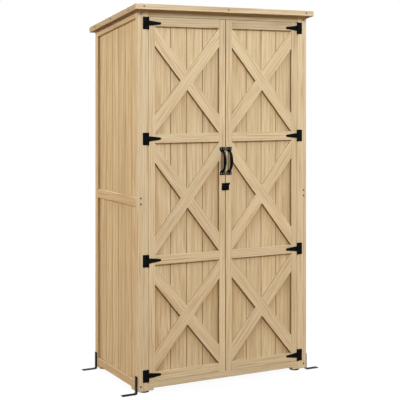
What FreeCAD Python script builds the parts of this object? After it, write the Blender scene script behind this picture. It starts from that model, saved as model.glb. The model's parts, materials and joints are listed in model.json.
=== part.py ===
import FreeCAD, Part
import os
import re
import Sketcher
from FreeCAD import Placement, Rotation, Vector

# Garden storage cabinet: a tall timber cupboard with two framed and cross-braced doors,
# tongued and grooved boarding, a lean-to roof, shelves and black iron fittings.
# The frame: +X to the right and +Y to the back as seen from the front, +Z up, in millimetres.
# The origin is on the ground, in the middle of the four ground anchor holes.

SIZES = {
    # Overall
    "body_width": 900,
    "body_depth": 508,
    "front_wall_height": 1730,
    "roof_pitch": 7.7,
    # Feet and ground brackets
    "pad_height": 11,
    "pad_radius": 25,
    "pad_taper": 3,
    "pad_inset_side": 47,
    "pad_inset_end": 35,
    "foot_block_height": 10,
    "foot_block_length": 80,
    "foot_block_width": 70,
    "bracket_rise": 80,
    "bracket_reach": 69,
    "bracket_width": 24,
    "bracket_thick": 2.5,
    "bracket_bend": 5,
    "anchor_hole_radius": 3.5,
    "anchor_hole_reach": 44,
    # Timber frame
    "front_post_width": 52,
    "front_post_thick": 24,
    "rear_post_width": 35,
    "rear_post_depth": 33,
    "edge_ease": 1.2,
    "strip_thick": 10,
    "foot_rail_height": 35.5,
    "side_rail_height": 41.5,
    "side_rail_top": 882,
    "top_rail_height": 39,
    "sill_height": 28,
    "sill_depth": 34,
    "header_height": 35.8,
    "stop_height": 12,
    "stop_gap": 1,
    # Boarding
    "board_pitch": 82.15,
    "side_board_pitch": 76.2,
    "side_first_joint": 86.5,
    "board_gap": 0.4,
    "board_thick": 10,
    "board_bevel": 2,
    "tongue_depth": 5,
    "tongue_thick": 3,
    "tongue_clearance": 0.2,
    "groove_depth": 6,
    "groove_clearance": 0.2,
    "seat_clearance": 0.3,
    # Doors
    "door_gap": 3,
    "door_post_gap": 1.5,
    "sill_gap": 1.2,
    "header_gap": 1.2,
    "stile_width": 32.5,
    "rail_height": 41.5,
    "bottom_panel_height": 482.5,
    "middle_panel_height": 507.7,
    "brace_end_height": 86.5,
    "brace_thick": 9,
    # Strap hinges
    "leaf_width": 27,
    "leaf_height": 56,
    "leaf_corner": 2,
    "metal_thick": 2,
    "knuckle_radius": 3.2,
    "knuckle_stand": 0.3,
    "knuckle_gap": 0.35,
    "pin_radius": 1.5,
    "pin_clearance": 0.05,
    "pin_proud": 0.8,
    "plate_lap": 1.1,
    "barrel_sides": 12,
    "strap_length": 64,
    "strap_root_height": 24,
    "strap_tip_radius": 5.2,
    # Pull handles
    "pull_centre_height": 1033,
    "pull_length": 130,
    "pull_plate_width": 26,
    "pull_plate_height": 20,
    "pull_plate_thick": 3,
    "pull_plate_round": 9,
    "pull_offset": 17.5,
    "pull_rise": 29.5,
    "pull_span": 98,
    "pull_grip_radius": 5.8,
    "pull_neck_radius": 3.6,
    "pull_grip_sides": 10,
    "pull_grip_steps": 10,
    # Sliding bolt
    "latch_bottom": 895.5,
    "latch_height": 34.5,
    "latch_plate_thick": 1.5,
    "latch_base_width": 18.6,
    "keeper_width": 16.6,
    "latch_edge_gap": 0.2,
    "bolt_radius": 3,
    "bolt_stand": 6.6,
    "bolt_clearance": 0.3,
    "bolt_wall": 1.8,
    "bolt_travel": 9,
    "bolt_nose_bevel": 0.8,
    "bolt_end_gap": 0.6,
    "knob_radius": 2.3,
    "knob_reach": 16,
    "knob_tip_radius": 3.4,
    "knob_tip_length": 4,
    "hoop_width": 9.5,
    "hoop_clearance": 1.2,
    "hoop_wall": 1.8,
    "hoop_corner": 1.5,
    "ear_height": 8,
    "ear_reach": 11,
    "ear_hole_radius": 2,
    # Floor and shelves
    "floor_thick": 12,
    "bearer_width": 40,
    "shelf_thick": 12,
    "shelf_plank_count": 5,
    "shelf_plank_gap": 4,
    "shelf_front_inset": 30,
    "shelf_back_gap": 1,
    "shelf_end_gap": 1,
    "batten_size": 20,
    "lower_shelf_top": 466,
    "middle_shelf_top": 880,
    "upper_shelf_top": 1286,
    # Roof
    "roof_front_overhang": 31,
    "roof_side_overhang": 22,
    "roof_back_overhang": 24,
    "deck_thick": 12,
    "fascia_thick": 12,
    "fascia_height": 26,
    "felt_thick": 2.5,
    "felt_sink": 1,
    "felt_edge_gap": 0.5,
    "roof_batten_width": 30,
    "roof_batten_thick": 18,
    "roof_batten_front": 60,
    "roof_batten_back": 42,
}

# Sizes that follow from the ones above, as words that the expressions below may use
DERIVED = {
    "front": "-body_depth / 2",
    "back": "body_depth / 2",
    "side": "body_width / 2",
    "frame_bottom": "pad_height + foot_block_height",
    "post_inner": "side - front_post_width",
    "post_back": "front + front_post_thick",
    "rear_post_front": "back - rear_post_depth",
    "rear_post_inner": "side - rear_post_width",
    "board_face": "side - strip_thick",
    "board_inside": "board_face - board_thick",
    "back_boards_face": "back - strip_thick",
    "back_boards_inside": "back_boards_face - board_thick",
    "side_boards_start": "front + side_first_joint - side_board_pitch",
    "side_boards_end": "rear_post_front + groove_depth",
    "side_board_count": "ceil((side_boards_end - side_boards_start) / side_board_pitch)",
    "back_board_count": "2 * ceil((rear_post_inner + groove_depth) / board_pitch)",
    "floor_board_count": "2 * ceil(board_inside / board_pitch)",
    "deck_board_count": "2 * ceil(roof_side / board_pitch)",
    "door_board_count": "2 * ceil((door_outer - door_inner) / 2 / board_pitch)",
    "door_outer": "post_inner - door_post_gap",
    "door_inner": "door_gap / 2",
    "door_middle": "(door_outer + door_inner) / 2",
    "door_bottom": "frame_bottom + sill_height + sill_gap",
    "door_top": "front_wall_height - header_height - header_gap",
    "door_height": "door_top - door_bottom",
    "door_back": "front + strip_thick + board_thick",
    "panel_outer": "door_outer - stile_width",
    "panel_inner": "door_inner + stile_width",
    "low_panel": "door_bottom + rail_height",
    "low_rail": "low_panel + bottom_panel_height",
    "middle_panel": "low_rail + rail_height",
    "high_rail": "middle_panel + middle_panel_height",
    "high_panel": "high_rail + rail_height",
    "top_rail": "door_top - rail_height",
    "floor_top": "frame_bottom + sill_height + floor_thick",
    "fall": "tan(roof_pitch * 1 deg)",
    "tilt": "cos(roof_pitch * 1 deg)",
    "hinge_x": "post_inner - door_post_gap / 2",
    "hinge_y": "front - knuckle_radius - knuckle_stand",
    "bore_radius": "pin_radius + pin_clearance",
    "leaf_outer": "hinge_x + leaf_width",
    "strap_knuckle": "strap_root_height / 2",
    "bolt_height": "latch_bottom + latch_height / 2",
    "hump_radius": "bolt_radius + bolt_clearance + bolt_wall",
    "bolt_y": "front - bolt_stand",
    "hoop_inside": "bolt_radius + hoop_clearance",
    "hoop_outside": "hoop_inside + hoop_wall",
    "base_edge": "door_inner + latch_edge_gap",
    "base_far_edge": "base_edge + latch_base_width",
    "keeper_far_edge": "base_edge + keeper_width",
    "knob_start": "base_edge + bolt_wall + bolt_clearance + knob_radius + bolt_travel",
    "shelf_front": "front + shelf_front_inset",
    "shelf_back": "rear_post_front - shelf_back_gap",
    "shelf_gaps": "shelf_plank_gap * (shelf_plank_count - 1)",
    "shelf_plank_width": "(shelf_back - shelf_front - shelf_gaps) / shelf_plank_count",
    "slope_start": "-roof_front_overhang / tilt",
    "slope_end": "(body_depth + roof_back_overhang) / tilt",
    "roof_side": "side + roof_side_overhang",
    "fascia_top": "deck_thick + felt_thick + felt_sink",
    "fascia_foot": "fascia_top - fascia_height",
}

doc = FreeCAD.newDocument("GardenStorageCabinet")
sheet = doc.addObject("Spreadsheet::Sheet", "Sizes")
for row, (alias, value) in enumerate(SIZES.items(), start=1):
    sheet.set(f"A{row}", alias)
    sheet.set(f"B{row}", str(value))
    sheet.setAlias(f"B{row}", alias)
doc.recompute()

NODES = []
NEAR = 0.01


def ex(words):
    """The expression that a text of named sizes stands for."""
    def spell(found):
        word = found.group()
        if word in DERIVED:
            return "(" + ex(DERIVED[word]) + ")"
        if word in SIZES:
            return "Sizes." + word
        return word
    return re.sub(r"[a-z_]+", spell, str(words))


def value(words):
    """The number that a text of named sizes comes to."""
    return float(sheet.evalExpression(ex(words)))


def node(piece, label):
    """Names a finished piece, so that it is written out under that name."""
    piece.Label = label
    NODES.append(piece)
    return piece


def roofline(y):
    """Height of the deck's underside over the depth y."""
    return f"(front_wall_height - fall * (({y}) - (front)))"


# Sketches and solids

PLANES = {"X": "YZ_Plane", "Y": "XZ_Plane", "Z": "XY_Plane"}


def origin_part(body, role):
    """One of the planes or axes of a body's own origin."""
    return next(item for item in body.Origin.OriginFeatures if item.Role == role)


def new_body(name):
    return doc.addObject("PartDesign::Body", name)


def new_sketch(body, axis, start):
    """A sketch square to an axis; the Y sketches look along -Y, so their offset is turned."""
    sketch = body.newObject("Sketcher::SketchObject", "Sketch")
    sketch.AttachmentSupport = (origin_part(body, PLANES[axis]), "")
    sketch.MapMode = "FlatFace"
    sign = "-" if axis == "Y" else ""
    sketch.setExpression("AttachmentOffset.Base.z", f"{sign}({ex(start)})")
    return sketch


def place_point(sketch, edge, position, name, place):
    """Fixes a point of a sketch at two named distances from its origin."""
    for kind, letter, words in zip(("DistanceX", "DistanceY"), "xy", place):
        index = sketch.addConstraint(Sketcher.Constraint(kind, -1, 1, edge, position, 1.0))
        sketch.renameConstraint(index, f"{name}_{letter}")
        sketch.setExpression(f"Constraints.{name}_{letter}", ex(words))


def draw_outline(sketch, points):
    """A closed outline with straight sides."""
    count = len(points)
    turn = Rotation(Vector(0, 0, 1), 360.0 / count)
    corners = [Vector(1, 0, 0)]
    while len(corners) < count:
        corners.append(turn.multVec(corners[-1]))
    first = sketch.GeometryCount
    for step in range(count):
        sketch.addGeometry(Part.LineSegment(corners[step], corners[(step + 1) % count]), False)
    for step in range(count):
        join = Sketcher.Constraint("Coincident", first + step, 2, first + (step + 1) % count, 1)
        sketch.addConstraint(join)
    for step, place in enumerate(points):
        place_point(sketch, first + step, 1, f"p{first + step}", place)


def draw_circles(sketch, circles):
    """Circles, each given as two distances and a radius."""
    for u, v, radius in circles:
        circle = sketch.addGeometry(Part.Circle(Vector(0, 0, 0), Vector(0, 0, 1), 1.0), False)
        index = sketch.addConstraint(Sketcher.Constraint("Radius", circle, 1.0))
        sketch.renameConstraint(index, f"r{circle}")
        sketch.setExpression(f"Constraints.r{circle}", ex(radius))
        place_point(sketch, circle, 3, f"c{circle}", (u, v))


def extrude(body, axis, start, length, outlines=(), circles=()):
    """Pads closed outlines or circles along an axis, from start."""
    sketch = new_sketch(body, axis, start)
    for points in outlines:
        draw_outline(sketch, points)
    draw_circles(sketch, circles)
    pad = body.newObject("PartDesign::Pad", "Pad")
    pad.Profile = sketch
    pad.Reversed = axis == "Y"
    pad.setExpression("Length", ex(length))
    return pad


def cut_through(body, axis, outlines=(), circles=(), start="0", length=None):
    """Cuts outlines or circles out of a body, all the way or for a length along the axis."""
    doc.recompute()
    before = body.Shape.Volume
    sketch = new_sketch(body, axis, start)
    for points in outlines:
        draw_outline(sketch, points)
    draw_circles(sketch, circles)
    pocket = body.newObject("PartDesign::Pocket", "Pocket")
    pocket.Profile = sketch
    if length is None:
        pocket.Type = "ThroughAll"
        pocket.SideType = "Symmetric"
    else:
        pocket.Reversed = axis != "Y"
        pocket.setExpression("Length", ex(length))
    doc.recompute()
    if not body.Shape.Volume < before:
        raise ValueError(f"a cut in {body.Label} removed nothing")
    return pocket


def rectangle(u0, u1, v0, v1):
    return [(u0, v0), (u1, v0), (u1, v1), (u0, v1)]


def arc_points(u, v, radius, first, last, count):
    """Points spaced evenly round a centre, from one angle to another, in degrees."""
    step = (last - first) / (count - 1)
    angles = [first + step * index for index in range(count)]
    return [(f"{u} + {radius} * cos({angle} deg)", f"{v} + {radius} * sin({angle} deg)") for angle in angles]


def barrel(u, v, radius, sides=SIZES["barrel_sides"]):
    """A round outline with few flats: its corners are at the radius."""
    half = 180.0 / sides
    return arc_points(u, v, f"({radius})", half, 360 - half, sides)


def barrel_bore(u, v, radius):
    """The same for a hole: its flats are at the radius, so that a round pin turns in it."""
    half = 180.0 / SIZES["barrel_sides"]
    return barrel(u, v, f"({radius}) / cos({half} deg)")


def edges_along(shape, axis, wanted=lambda middle: True):
    """Names of the straight edges that run along an axis, with their middle as wanted."""
    direction = {"X": Vector(1, 0, 0), "Y": Vector(0, 1, 0), "Z": Vector(0, 0, 1)}[axis]
    names = []
    for number, edge in enumerate(shape.Edges, start=1):
        if edge.Curve.TypeId != "Part::GeomLine" or len(edge.Vertexes) != 2:
            continue
        run = edge.Vertexes[1].Point - edge.Vertexes[0].Point
        middle = (edge.Vertexes[1].Point + edge.Vertexes[0].Point) / 2
        if run.cross(direction).Length < NEAR * run.Length and wanted(middle):
            names.append(f"Edge{number}")
    return names


def dress_edges(body, kind, size, find):
    """Chamfers or rounds the edges of a body that find names in its present shape."""
    doc.recompute()
    base = body.Tip
    feature = body.newObject(f"PartDesign::{kind}", kind)
    feature.Base = (base, find(base.Shape))
    feature.setExpression("Size" if kind == "Chamfer" else "Radius", ex(size))
    return feature


def dress(body, kind, size, axis, wanted=lambda middle: True):
    """Chamfers or rounds a body's edges that run along an axis."""
    return dress_edges(body, kind, size, lambda shape: edges_along(shape, axis, wanted))


def rims(shape, wanted=lambda middle: True):
    """Names of a shape's round edges, with their middle as wanted."""
    return [
        f"Edge{number}" for number, edge in enumerate(shape.Edges, start=1)
        if edge.Curve.TypeId == "Part::GeomCircle" and wanted(edge.CenterOfMass)
    ]


def strip(name, axis, outline, start, length, eased=True):
    """A length of timber with a constant section and eased long edges."""
    body = new_body(name)
    extrude(body, axis, start, length, [outline])
    if eased:
        dress(body, "Chamfer", "edge_ease", axis)
    return body


def gather(name, pieces):
    """Separate solids in one group."""
    group = doc.addObject("Part::Compound", name)
    group.Links = pieces
    return group


def copy_at(piece, name, x="0", y="0", z="0"):
    """A copy of a piece, moved by named distances."""
    link = doc.addObject("App::Link", name)
    link.LinkedObject = piece
    for letter, words in zip("xyz", (x, y, z)):
        link.setExpression(f"Placement.Base.{letter}", ex(words))
    return link


def copies(name, piece, places):
    """A group of copies of a piece at a list of places."""
    return gather(name, [copy_at(piece, f"{name}_copy", *place) for place in places])


def mirrored(name, piece):
    """The piece's opposite hand, across the cabinet's middle."""
    mirror = doc.addObject("Part::Mirroring", name)
    mirror.Source = piece
    mirror.Normal = (1, 0, 0)
    return mirror


def combine(kind, name, base, tool):
    result = doc.addObject(f"Part::{kind}", name)
    result.Base = base
    result.Tool = tool
    return result


def both_hands(piece, name):
    """The left piece and its mirror image on the right."""
    node(piece, "left_" + name)
    node(mirrored("Right_" + name, piece), "right_" + name)


# Boarding

def board_section(pitch, start, face, inward):
    """Section of a tongued and grooved board: start is its groove side, face its bevelled side.

    inward is + or -, the way from the face into the board.
    """
    width = f"{pitch} - board_gap"
    middle = "board_thick / 2"
    tongue = "tongue_thick / 2"
    groove = "tongue_thick / 2 + tongue_clearance"
    section = [
        ("board_bevel", "0"),
        (f"{width} - board_bevel", "0"),
        (width, "board_bevel"),
        (width, f"{middle} - {tongue}"),
        (f"{width} + tongue_depth", f"{middle} - {tongue}"),
        (f"{width} + tongue_depth", f"{middle} + {tongue}"),
        (width, f"{middle} + {tongue}"),
        (width, "board_thick"),
        ("0", "board_thick"),
        ("0", f"{middle} + {groove}"),
        ("tongue_depth", f"{middle} + {groove}"),
        ("tongue_depth", f"{middle} - ({groove})"),
        ("0", f"{middle} - ({groove})"),
        ("0", "board_bevel"),
    ]
    return [(f"({start}) + {u}", f"({face}) {inward} ({v})") for u, v in section]


def boarding(name, axis, across, section, start, length, pitch, count, room):
    """Boards side by side, trimmed to the room that the frame leaves them."""
    body = new_body(name + "_run")
    pad = extrude(body, axis, start, length, [section])
    doc.recompute()
    pattern = body.newObject("PartDesign::LinearPattern", "Boards")
    pattern.Originals = [pad]
    pattern.Direction = (origin_part(body, across + "_Axis"), [""])
    pattern.Mode = "Spacing"
    pattern.setExpression("Offset", ex(pitch))
    pattern.setExpression("Occurrences", ex(count))
    body.Tip = pattern
    return combine("Common", name, body, room)


def sloped_room(name, y0, y1, x0, x1):
    """The space between two depths and two widths, from the frame's bottom up to the deck."""
    outline = [(y0, "frame_bottom"), (y1, "frame_bottom"), (y1, roofline(y1)), (y0, roofline(y0))]
    room = new_body(name)
    extrude(room, "X", x0, f"({x1}) - ({x0})", [outline])
    return room


# Feet

pad_places = [
    (f"{sx} (side - pad_inset_side)", f"{sy} (back - pad_inset_end)", "0")
    for sx in "+-" for sy in "+-"
]
pad_body = new_body("FootPad")
sketch = new_sketch(pad_body, "Y", "0")
draw_outline(sketch, [
    ("0", "0"),
    ("pad_radius - pad_taper", "0"),
    ("pad_radius", "pad_taper"),
    ("pad_radius", "pad_height"),
    ("0", "pad_height"),
])
turned = pad_body.newObject("PartDesign::Revolution", "Turned")
turned.Profile = sketch
turned.ReferenceAxis = (origin_part(pad_body, "Z_Axis"), [""])
turned.Angle = 360
node(copies("FootPads", pad_body, pad_places), "foot_pads")

block = strip("FootBlock", "Z", rectangle(
    "-foot_block_length / 2", "foot_block_length / 2", "-foot_block_width / 2", "foot_block_width / 2",
), "pad_height", "foot_block_height")
node(copies("FootBlocks", block, [
    (f"{sx} (side - foot_block_length / 2)", f"{sy} (back - foot_block_width / 2)", "0")
    for sx in "+-" for sy in "+-"
]), "foot_blocks")

# Ground brackets

bracket = new_body("GroundBracket")
extrude(bracket, "Y", "front", "bracket_width", [[
    ("-side", "0"),
    ("-side", "bracket_rise"),
    ("-side - bracket_thick", "bracket_rise"),
    ("-side - bracket_thick", "bracket_thick"),
    ("-side - bracket_thick - bracket_reach", "bracket_thick"),
    ("-side - bracket_thick - bracket_reach", "0"),
]])
bend_outside = value("-side")
bend_inside = value("-side - bracket_thick")
bend_height = value("bracket_thick") + NEAR
dress(bracket, "Fillet", "bracket_bend + bracket_thick", "Y",
      lambda middle: abs(middle.x - bend_outside) < NEAR and middle.z < bend_height)
dress(bracket, "Fillet", "bracket_bend", "Y",
      lambda middle: abs(middle.x - bend_inside) < NEAR and middle.z < bend_height)
cut_through(bracket, "Z", circles=[
    ("-side - anchor_hole_reach", "front + bracket_width / 2", "anchor_hole_radius"),
])
rear_bracket = copy_at(bracket, "RearBracket", y="body_depth - bracket_width")
left_brackets = gather("LeftBrackets", [bracket, rear_bracket])
node(gather("Brackets", [left_brackets, mirrored("RightBrackets", left_brackets)]), "ground_brackets")

# Posts

above_walls = new_body("AboveWalls")
extrude(above_walls, "X", "-side", "body_width", [[
    ("front - roof_front_overhang", roofline("front - roof_front_overhang")),
    ("back + roof_back_overhang", roofline("back + roof_back_overhang")),
    ("back + roof_back_overhang", "front_wall_height + body_depth"),
    ("front - roof_front_overhang", "front_wall_height + body_depth"),
]])

groove_outer = "board_face + groove_clearance"
groove_inner = "board_inside - groove_clearance"
post = strip("FrontPost", "Z", [
    ("-side", "front"),
    ("-post_inner", "front"),
    ("-post_inner", "post_back"),
    (f"-({groove_inner})", "post_back"),
    (f"-({groove_inner})", "post_back - groove_depth"),
    (f"-({groove_outer})", "post_back - groove_depth"),
    (f"-({groove_outer})", "post_back"),
    ("-side", "post_back"),
], "frame_bottom", "front_wall_height", eased=False)
front_plane = value("front")
dress(post, "Chamfer", "edge_ease", "Z", lambda middle: middle.y < front_plane + NEAR)
front_post = combine("Cut", "FrontPostCut", post, above_walls)
node(front_post, "front_left_post")
node(mirrored("FrontRightPost", front_post), "front_right_post")

post = strip("RearPost", "Z", [
    ("-side", "rear_post_front"),
    (f"-({groove_outer})", "rear_post_front"),
    (f"-({groove_outer})", "rear_post_front + groove_depth"),
    (f"-({groove_inner})", "rear_post_front + groove_depth"),
    (f"-({groove_inner})", "rear_post_front"),
    ("-rear_post_inner", "rear_post_front"),
    ("-rear_post_inner", "back_boards_inside - groove_clearance"),
    ("-rear_post_inner - groove_depth", "back_boards_inside - groove_clearance"),
    ("-rear_post_inner - groove_depth", "back_boards_face + groove_clearance"),
    ("-rear_post_inner", "back_boards_face + groove_clearance"),
    ("-rear_post_inner", "back"),
    ("-side", "back"),
], "frame_bottom", "front_wall_height", eased=False)
back_plane = value("back")
dress(post, "Chamfer", "edge_ease", "Z", lambda middle: middle.y > back_plane - NEAR)
rear_post = combine("Cut", "RearPostCut", post, above_walls)
node(rear_post, "rear_left_post")
node(mirrored("RearRightPost", rear_post), "rear_right_post")

# Front rails, rebated so that the doors shut against them

stop_front = "door_back + stop_gap"
stop_back = "front + sill_depth"
sill = strip("SillRail", "X", [
    ("front", "frame_bottom"),
    (stop_back, "frame_bottom"),
    (stop_back, "floor_top"),
    (stop_front, "floor_top"),
    (stop_front, "frame_bottom + sill_height"),
    ("front", "frame_bottom + sill_height"),
], "-post_inner", "2 * post_inner")
node(sill, "front_sill_rail")

header = strip("HeaderRail", "X", [
    ("front", "door_top + header_gap"),
    (stop_front, "door_top + header_gap"),
    (stop_front, "door_top - stop_height"),
    (stop_back, "door_top - stop_height"),
    (stop_back, roofline(stop_back)),
    ("front", roofline("front")),
], "-post_inner", "2 * post_inner")
node(header, "front_header_rail")

# Sides: rails planted on upright boards

side_rail_run = "rear_post_front - (post_back)"
side_rail = strip("SideRail", "Y", rectangle(
    "-side", "-board_face", "side_rail_top - side_rail_height", "side_rail_top",
), "post_back", side_rail_run)
side_foot_rail = strip("SideFootRail", "Y", rectangle(
    "-side", "-board_face", "frame_bottom", "frame_bottom + foot_rail_height",
), "post_back", side_rail_run)
both_hands(gather("SideRails", [side_rail, side_foot_rail]), "side_rails")

side_top_rail = strip("SideTopRail", "X", [
    ("post_back", f"{roofline('post_back')} - top_rail_height"),
    ("rear_post_front", f"{roofline('rear_post_front')} - top_rail_height"),
    ("rear_post_front", roofline("rear_post_front")),
    ("post_back", roofline("post_back")),
], "-side", "strip_thick", eased=False)
both_hands(side_top_rail, "side_top_rail")

side_room = sloped_room(
    "SideRoom",
    "post_back - groove_depth + seat_clearance",
    "rear_post_front + groove_depth - seat_clearance",
    "-board_face", "-board_inside",
)
side_section = board_section("side_board_pitch", "side_boards_start", "-board_face", "+")
side_boards = boarding(
    "SideBoards", "Z", "Y", [(v, u) for u, v in side_section], "frame_bottom", "front_wall_height",
    "side_board_pitch", "side_board_count", side_room,
)
both_hands(side_boards, "side_boards")

# Back

back_rail = strip("BackRail", "X", rectangle(
    "back_boards_face", "back", "side_rail_top - side_rail_height", "side_rail_top",
), "-rear_post_inner", "2 * rear_post_inner")
back_foot_rail = strip("BackFootRail", "X", rectangle(
    "back_boards_face", "back", "frame_bottom", "frame_bottom + foot_rail_height",
), "-rear_post_inner", "2 * rear_post_inner")
node(gather("BackRails", [back_rail, back_foot_rail]), "back_rails")

back_top_rail = strip("BackTopRail", "X", [
    ("back_boards_face", f"{roofline('back')} - top_rail_height"),
    ("back", f"{roofline('back')} - top_rail_height"),
    ("back", roofline("back")),
    ("back_boards_face", roofline("back_boards_face")),
], "-rear_post_inner", "2 * rear_post_inner")
node(back_top_rail, "back_top_rail")

back_edge = "rear_post_inner + groove_depth - seat_clearance"
back_room = sloped_room("BackRoom", "back_boards_inside", "back_boards_face", f"-({back_edge})", back_edge)
back_section = board_section("board_pitch", "-board_pitch * back_board_count / 2", "back_boards_face", "-")
node(boarding(
    "BackBoards", "Z", "X", back_section, "frame_bottom", "front_wall_height",
    "board_pitch", "back_board_count", back_room,
), "back_boards")

# Floor

floor_edge = "board_inside - seat_clearance"
floor_back = "back_boards_inside - seat_clearance"
bearer = strip("FloorBearer", "X", rectangle(
    stop_back, f"{stop_back} + bearer_width", "frame_bottom", "frame_bottom + sill_height",
), f"-({floor_edge})", f"2 * ({floor_edge})")
bearer_run = f"({floor_back} - bearer_width - ({stop_back}))"
node(copies("FloorBearers", bearer, [
    ("0", "0", "0"),
    ("0", f"{bearer_run} / 2", "0"),
    ("0", f"rear_post_front - bearer_width - ({stop_back})", "0"),
]), "floor_bearers")

floor_room = new_body("FloorRoom")
post_notch = "rear_post_inner - seat_clearance"
extrude(floor_room, "Z", "frame_bottom + sill_height", "floor_thick", [[
    (f"-({floor_edge})", stop_back),
    (floor_edge, stop_back),
    (floor_edge, "rear_post_front - seat_clearance"),
    (post_notch, "rear_post_front - seat_clearance"),
    (post_notch, floor_back),
    (f"-({post_notch})", floor_back),
    (f"-({post_notch})", "rear_post_front - seat_clearance"),
    (f"-({floor_edge})", "rear_post_front - seat_clearance"),
]])


def level_boards(name, count, thick, face, inward, start, length, room):
    """Floor or deck boards, which run from front to back."""
    section = board_section("board_pitch", f"-board_pitch * {count} / 2", face, inward)
    section = [(u, v.replace("board_thick", thick)) for u, v in section]
    return boarding(name, "Y", "X", section, start, length, "board_pitch", count, room)


node(level_boards(
    "FloorBoards", "floor_board_count", "floor_thick", "floor_top", "-", stop_back, "body_depth", floor_room,
), "floor_boards")

# Shelves on battens

shelf_end = "board_inside - shelf_end_gap"
shelf_plank = strip("ShelfPlank", "X", rectangle(
    "shelf_front", "shelf_front + shelf_plank_width", "-shelf_thick", "0",
), f"-({shelf_end})", f"2 * ({shelf_end})")
for name, height in (
    ("lower_shelf", "lower_shelf_top"),
    ("middle_shelf", "middle_shelf_top"),
    ("upper_shelf", "upper_shelf_top"),
):
    node(copies(name, shelf_plank, [
        ("0", f"{step} * (shelf_plank_width + shelf_plank_gap)", height)
        for step in range(SIZES["shelf_plank_count"])
    ]), name)

batten = strip("ShelfBatten", "Y", rectangle(
    "-board_inside", "-board_inside + batten_size", "-shelf_thick - batten_size", "-shelf_thick",
), "post_back", side_rail_run)
left_battens = copies("LeftBattens", batten, [
    ("0", "0", "lower_shelf_top"),
    ("0", "0", "middle_shelf_top"),
    ("0", "0", "upper_shelf_top"),
])
node(gather("Battens", [left_battens, mirrored("RightBattens", left_battens)]), "shelf_battens")

# Doors: upright boards with stiles, rails and braces planted on them

door_room = new_body("DoorRoom")
extrude(door_room, "Z", "door_bottom", "door_height", [rectangle(
    "-door_outer", "-door_inner", "front + strip_thick", "door_back",
)])
door_section = board_section(
    "board_pitch", "-door_middle - board_pitch * door_board_count / 2", "front + strip_thick", "+",
)
both_hands(boarding(
    "DoorBoards", "Z", "X", door_section, "door_bottom", "door_height",
    "board_pitch", "door_board_count", door_room,
), "door_boards")

hinge_stile = strip("HingeStile", "Z", rectangle(
    "-door_outer", "-panel_outer", "front", "front + strip_thick",
), "door_bottom", "door_height")
both_hands(hinge_stile, "door_hinge_stile")
lock_stile = strip("LockStile", "Z", rectangle(
    "-panel_inner", "-door_inner", "front", "front + strip_thick",
), "door_bottom", "door_height")
both_hands(lock_stile, "door_lock_stile")

door_rail = strip("DoorRail", "X", rectangle(
    "front", "front + strip_thick", "0", "rail_height",
), "-panel_outer", "panel_outer - panel_inner")
both_hands(copies("DoorRails", door_rail, [
    ("0", "0", height) for height in ("door_bottom", "low_rail", "high_rail", "top_rail")
]), "door_rails")


def brace(name, low, high, rising):
    """A brace across a panel, its outer edges running into the panel's corners."""
    left = (f"{low} + brace_end_height", low)
    right = (high, f"{high} - brace_end_height")
    if not rising:
        left, right = right, left
    outline = [
        ("-panel_outer", left[1]), ("-panel_inner", right[1]),
        ("-panel_inner", right[0]), ("-panel_outer", left[0]),
    ]
    return strip(name, "Y", outline, "front + strip_thick - brace_thick", "brace_thick", eased=False)


panels = (("low_panel", "low_rail"), ("middle_panel", "high_rail"), ("high_panel", "top_rail"))
braces = gather("Braces", [brace("Brace", low, high, True) for low, high in panels])
crossing = gather("CrossingBraces", [brace("Crossing", low, high, False) for low, high in panels])
both_hands(braces, "door_braces")
both_hands(combine("Cut", "HalfBraces", crossing, braces), "door_half_braces")

# Strap hinges, drawn at height 0 and copied to their heights on the left door

hinge_heights = (
    "door_bottom + leaf_height / 2",
    "low_rail + rail_height / 2",
    "high_rail + rail_height / 2",
    "door_top - leaf_height / 2",
)
hinge_places = [("0", "0", height) for height in hinge_heights]
leaf_knuckle = "(leaf_height / 2 - strap_knuckle - knuckle_gap)"
knuckle = barrel("-hinge_x", "hinge_y", "knuckle_radius")
pin_bore = barrel_bore("-hinge_x", "hinge_y", "bore_radius")

leaf = new_body("HingeLeaf")
extrude(leaf, "Y", "front - metal_thick", "metal_thick", [rectangle(
    "-leaf_outer", "-hinge_x - plate_lap", "-leaf_height / 2", "leaf_height / 2",
)])
leaf_side = value("-leaf_outer")
dress(leaf, "Chamfer", "leaf_corner", "Y", lambda middle: middle.x < leaf_side + NEAR)
extrude(leaf, "Z", "-leaf_height / 2", leaf_knuckle, [knuckle])
extrude(leaf, "Z", "strap_knuckle + knuckle_gap", leaf_knuckle, [knuckle])
cut_through(leaf, "Y", [rectangle(
    "-hinge_x - knuckle_radius - knuckle_gap", "-hinge_x + knuckle_radius",
    "-strap_knuckle - knuckle_gap", "strap_knuckle + knuckle_gap",
)])
cut_through(leaf, "Z", [pin_bore])
both_hands(copies("Leaves", leaf, hinge_places), "hinge_plates")

strap = new_body("HingeStrap")
strap_shoulder = "-hinge_x + knuckle_radius + knuckle_gap"
strap_tip = arc_points(
    "-hinge_x + strap_length - strap_tip_radius", "0", "strap_tip_radius", -90, 90,
    SIZES["barrel_sides"] // 2 + 1,
)
extrude(strap, "Y", "front - metal_thick", "metal_thick", [[
    ("-hinge_x + plate_lap", "-strap_root_height / 2"),
    (strap_shoulder, "-strap_root_height / 2"),
    *strap_tip,
    (strap_shoulder, "strap_root_height / 2"),
    ("-hinge_x + plate_lap", "strap_root_height / 2"),
]])
extrude(strap, "Z", "-strap_knuckle", "strap_root_height", [knuckle])
cut_through(strap, "Z", [pin_bore])
both_hands(copies("Straps", strap, hinge_places), "hinge_straps")

pin = new_body("HingePin")
extrude(pin, "Z", "-leaf_height / 2 - pin_proud", "leaf_height + 2 * pin_proud", circles=[
    ("-hinge_x", "hinge_y", "pin_radius"),
])
left_pins = copies("LeftPins", pin, hinge_places)
node(gather("Pins", [left_pins, mirrored("RightPins", left_pins)]), "hinge_pins")

# Pull handles, drawn about the middle of the face that they stand on

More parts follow.
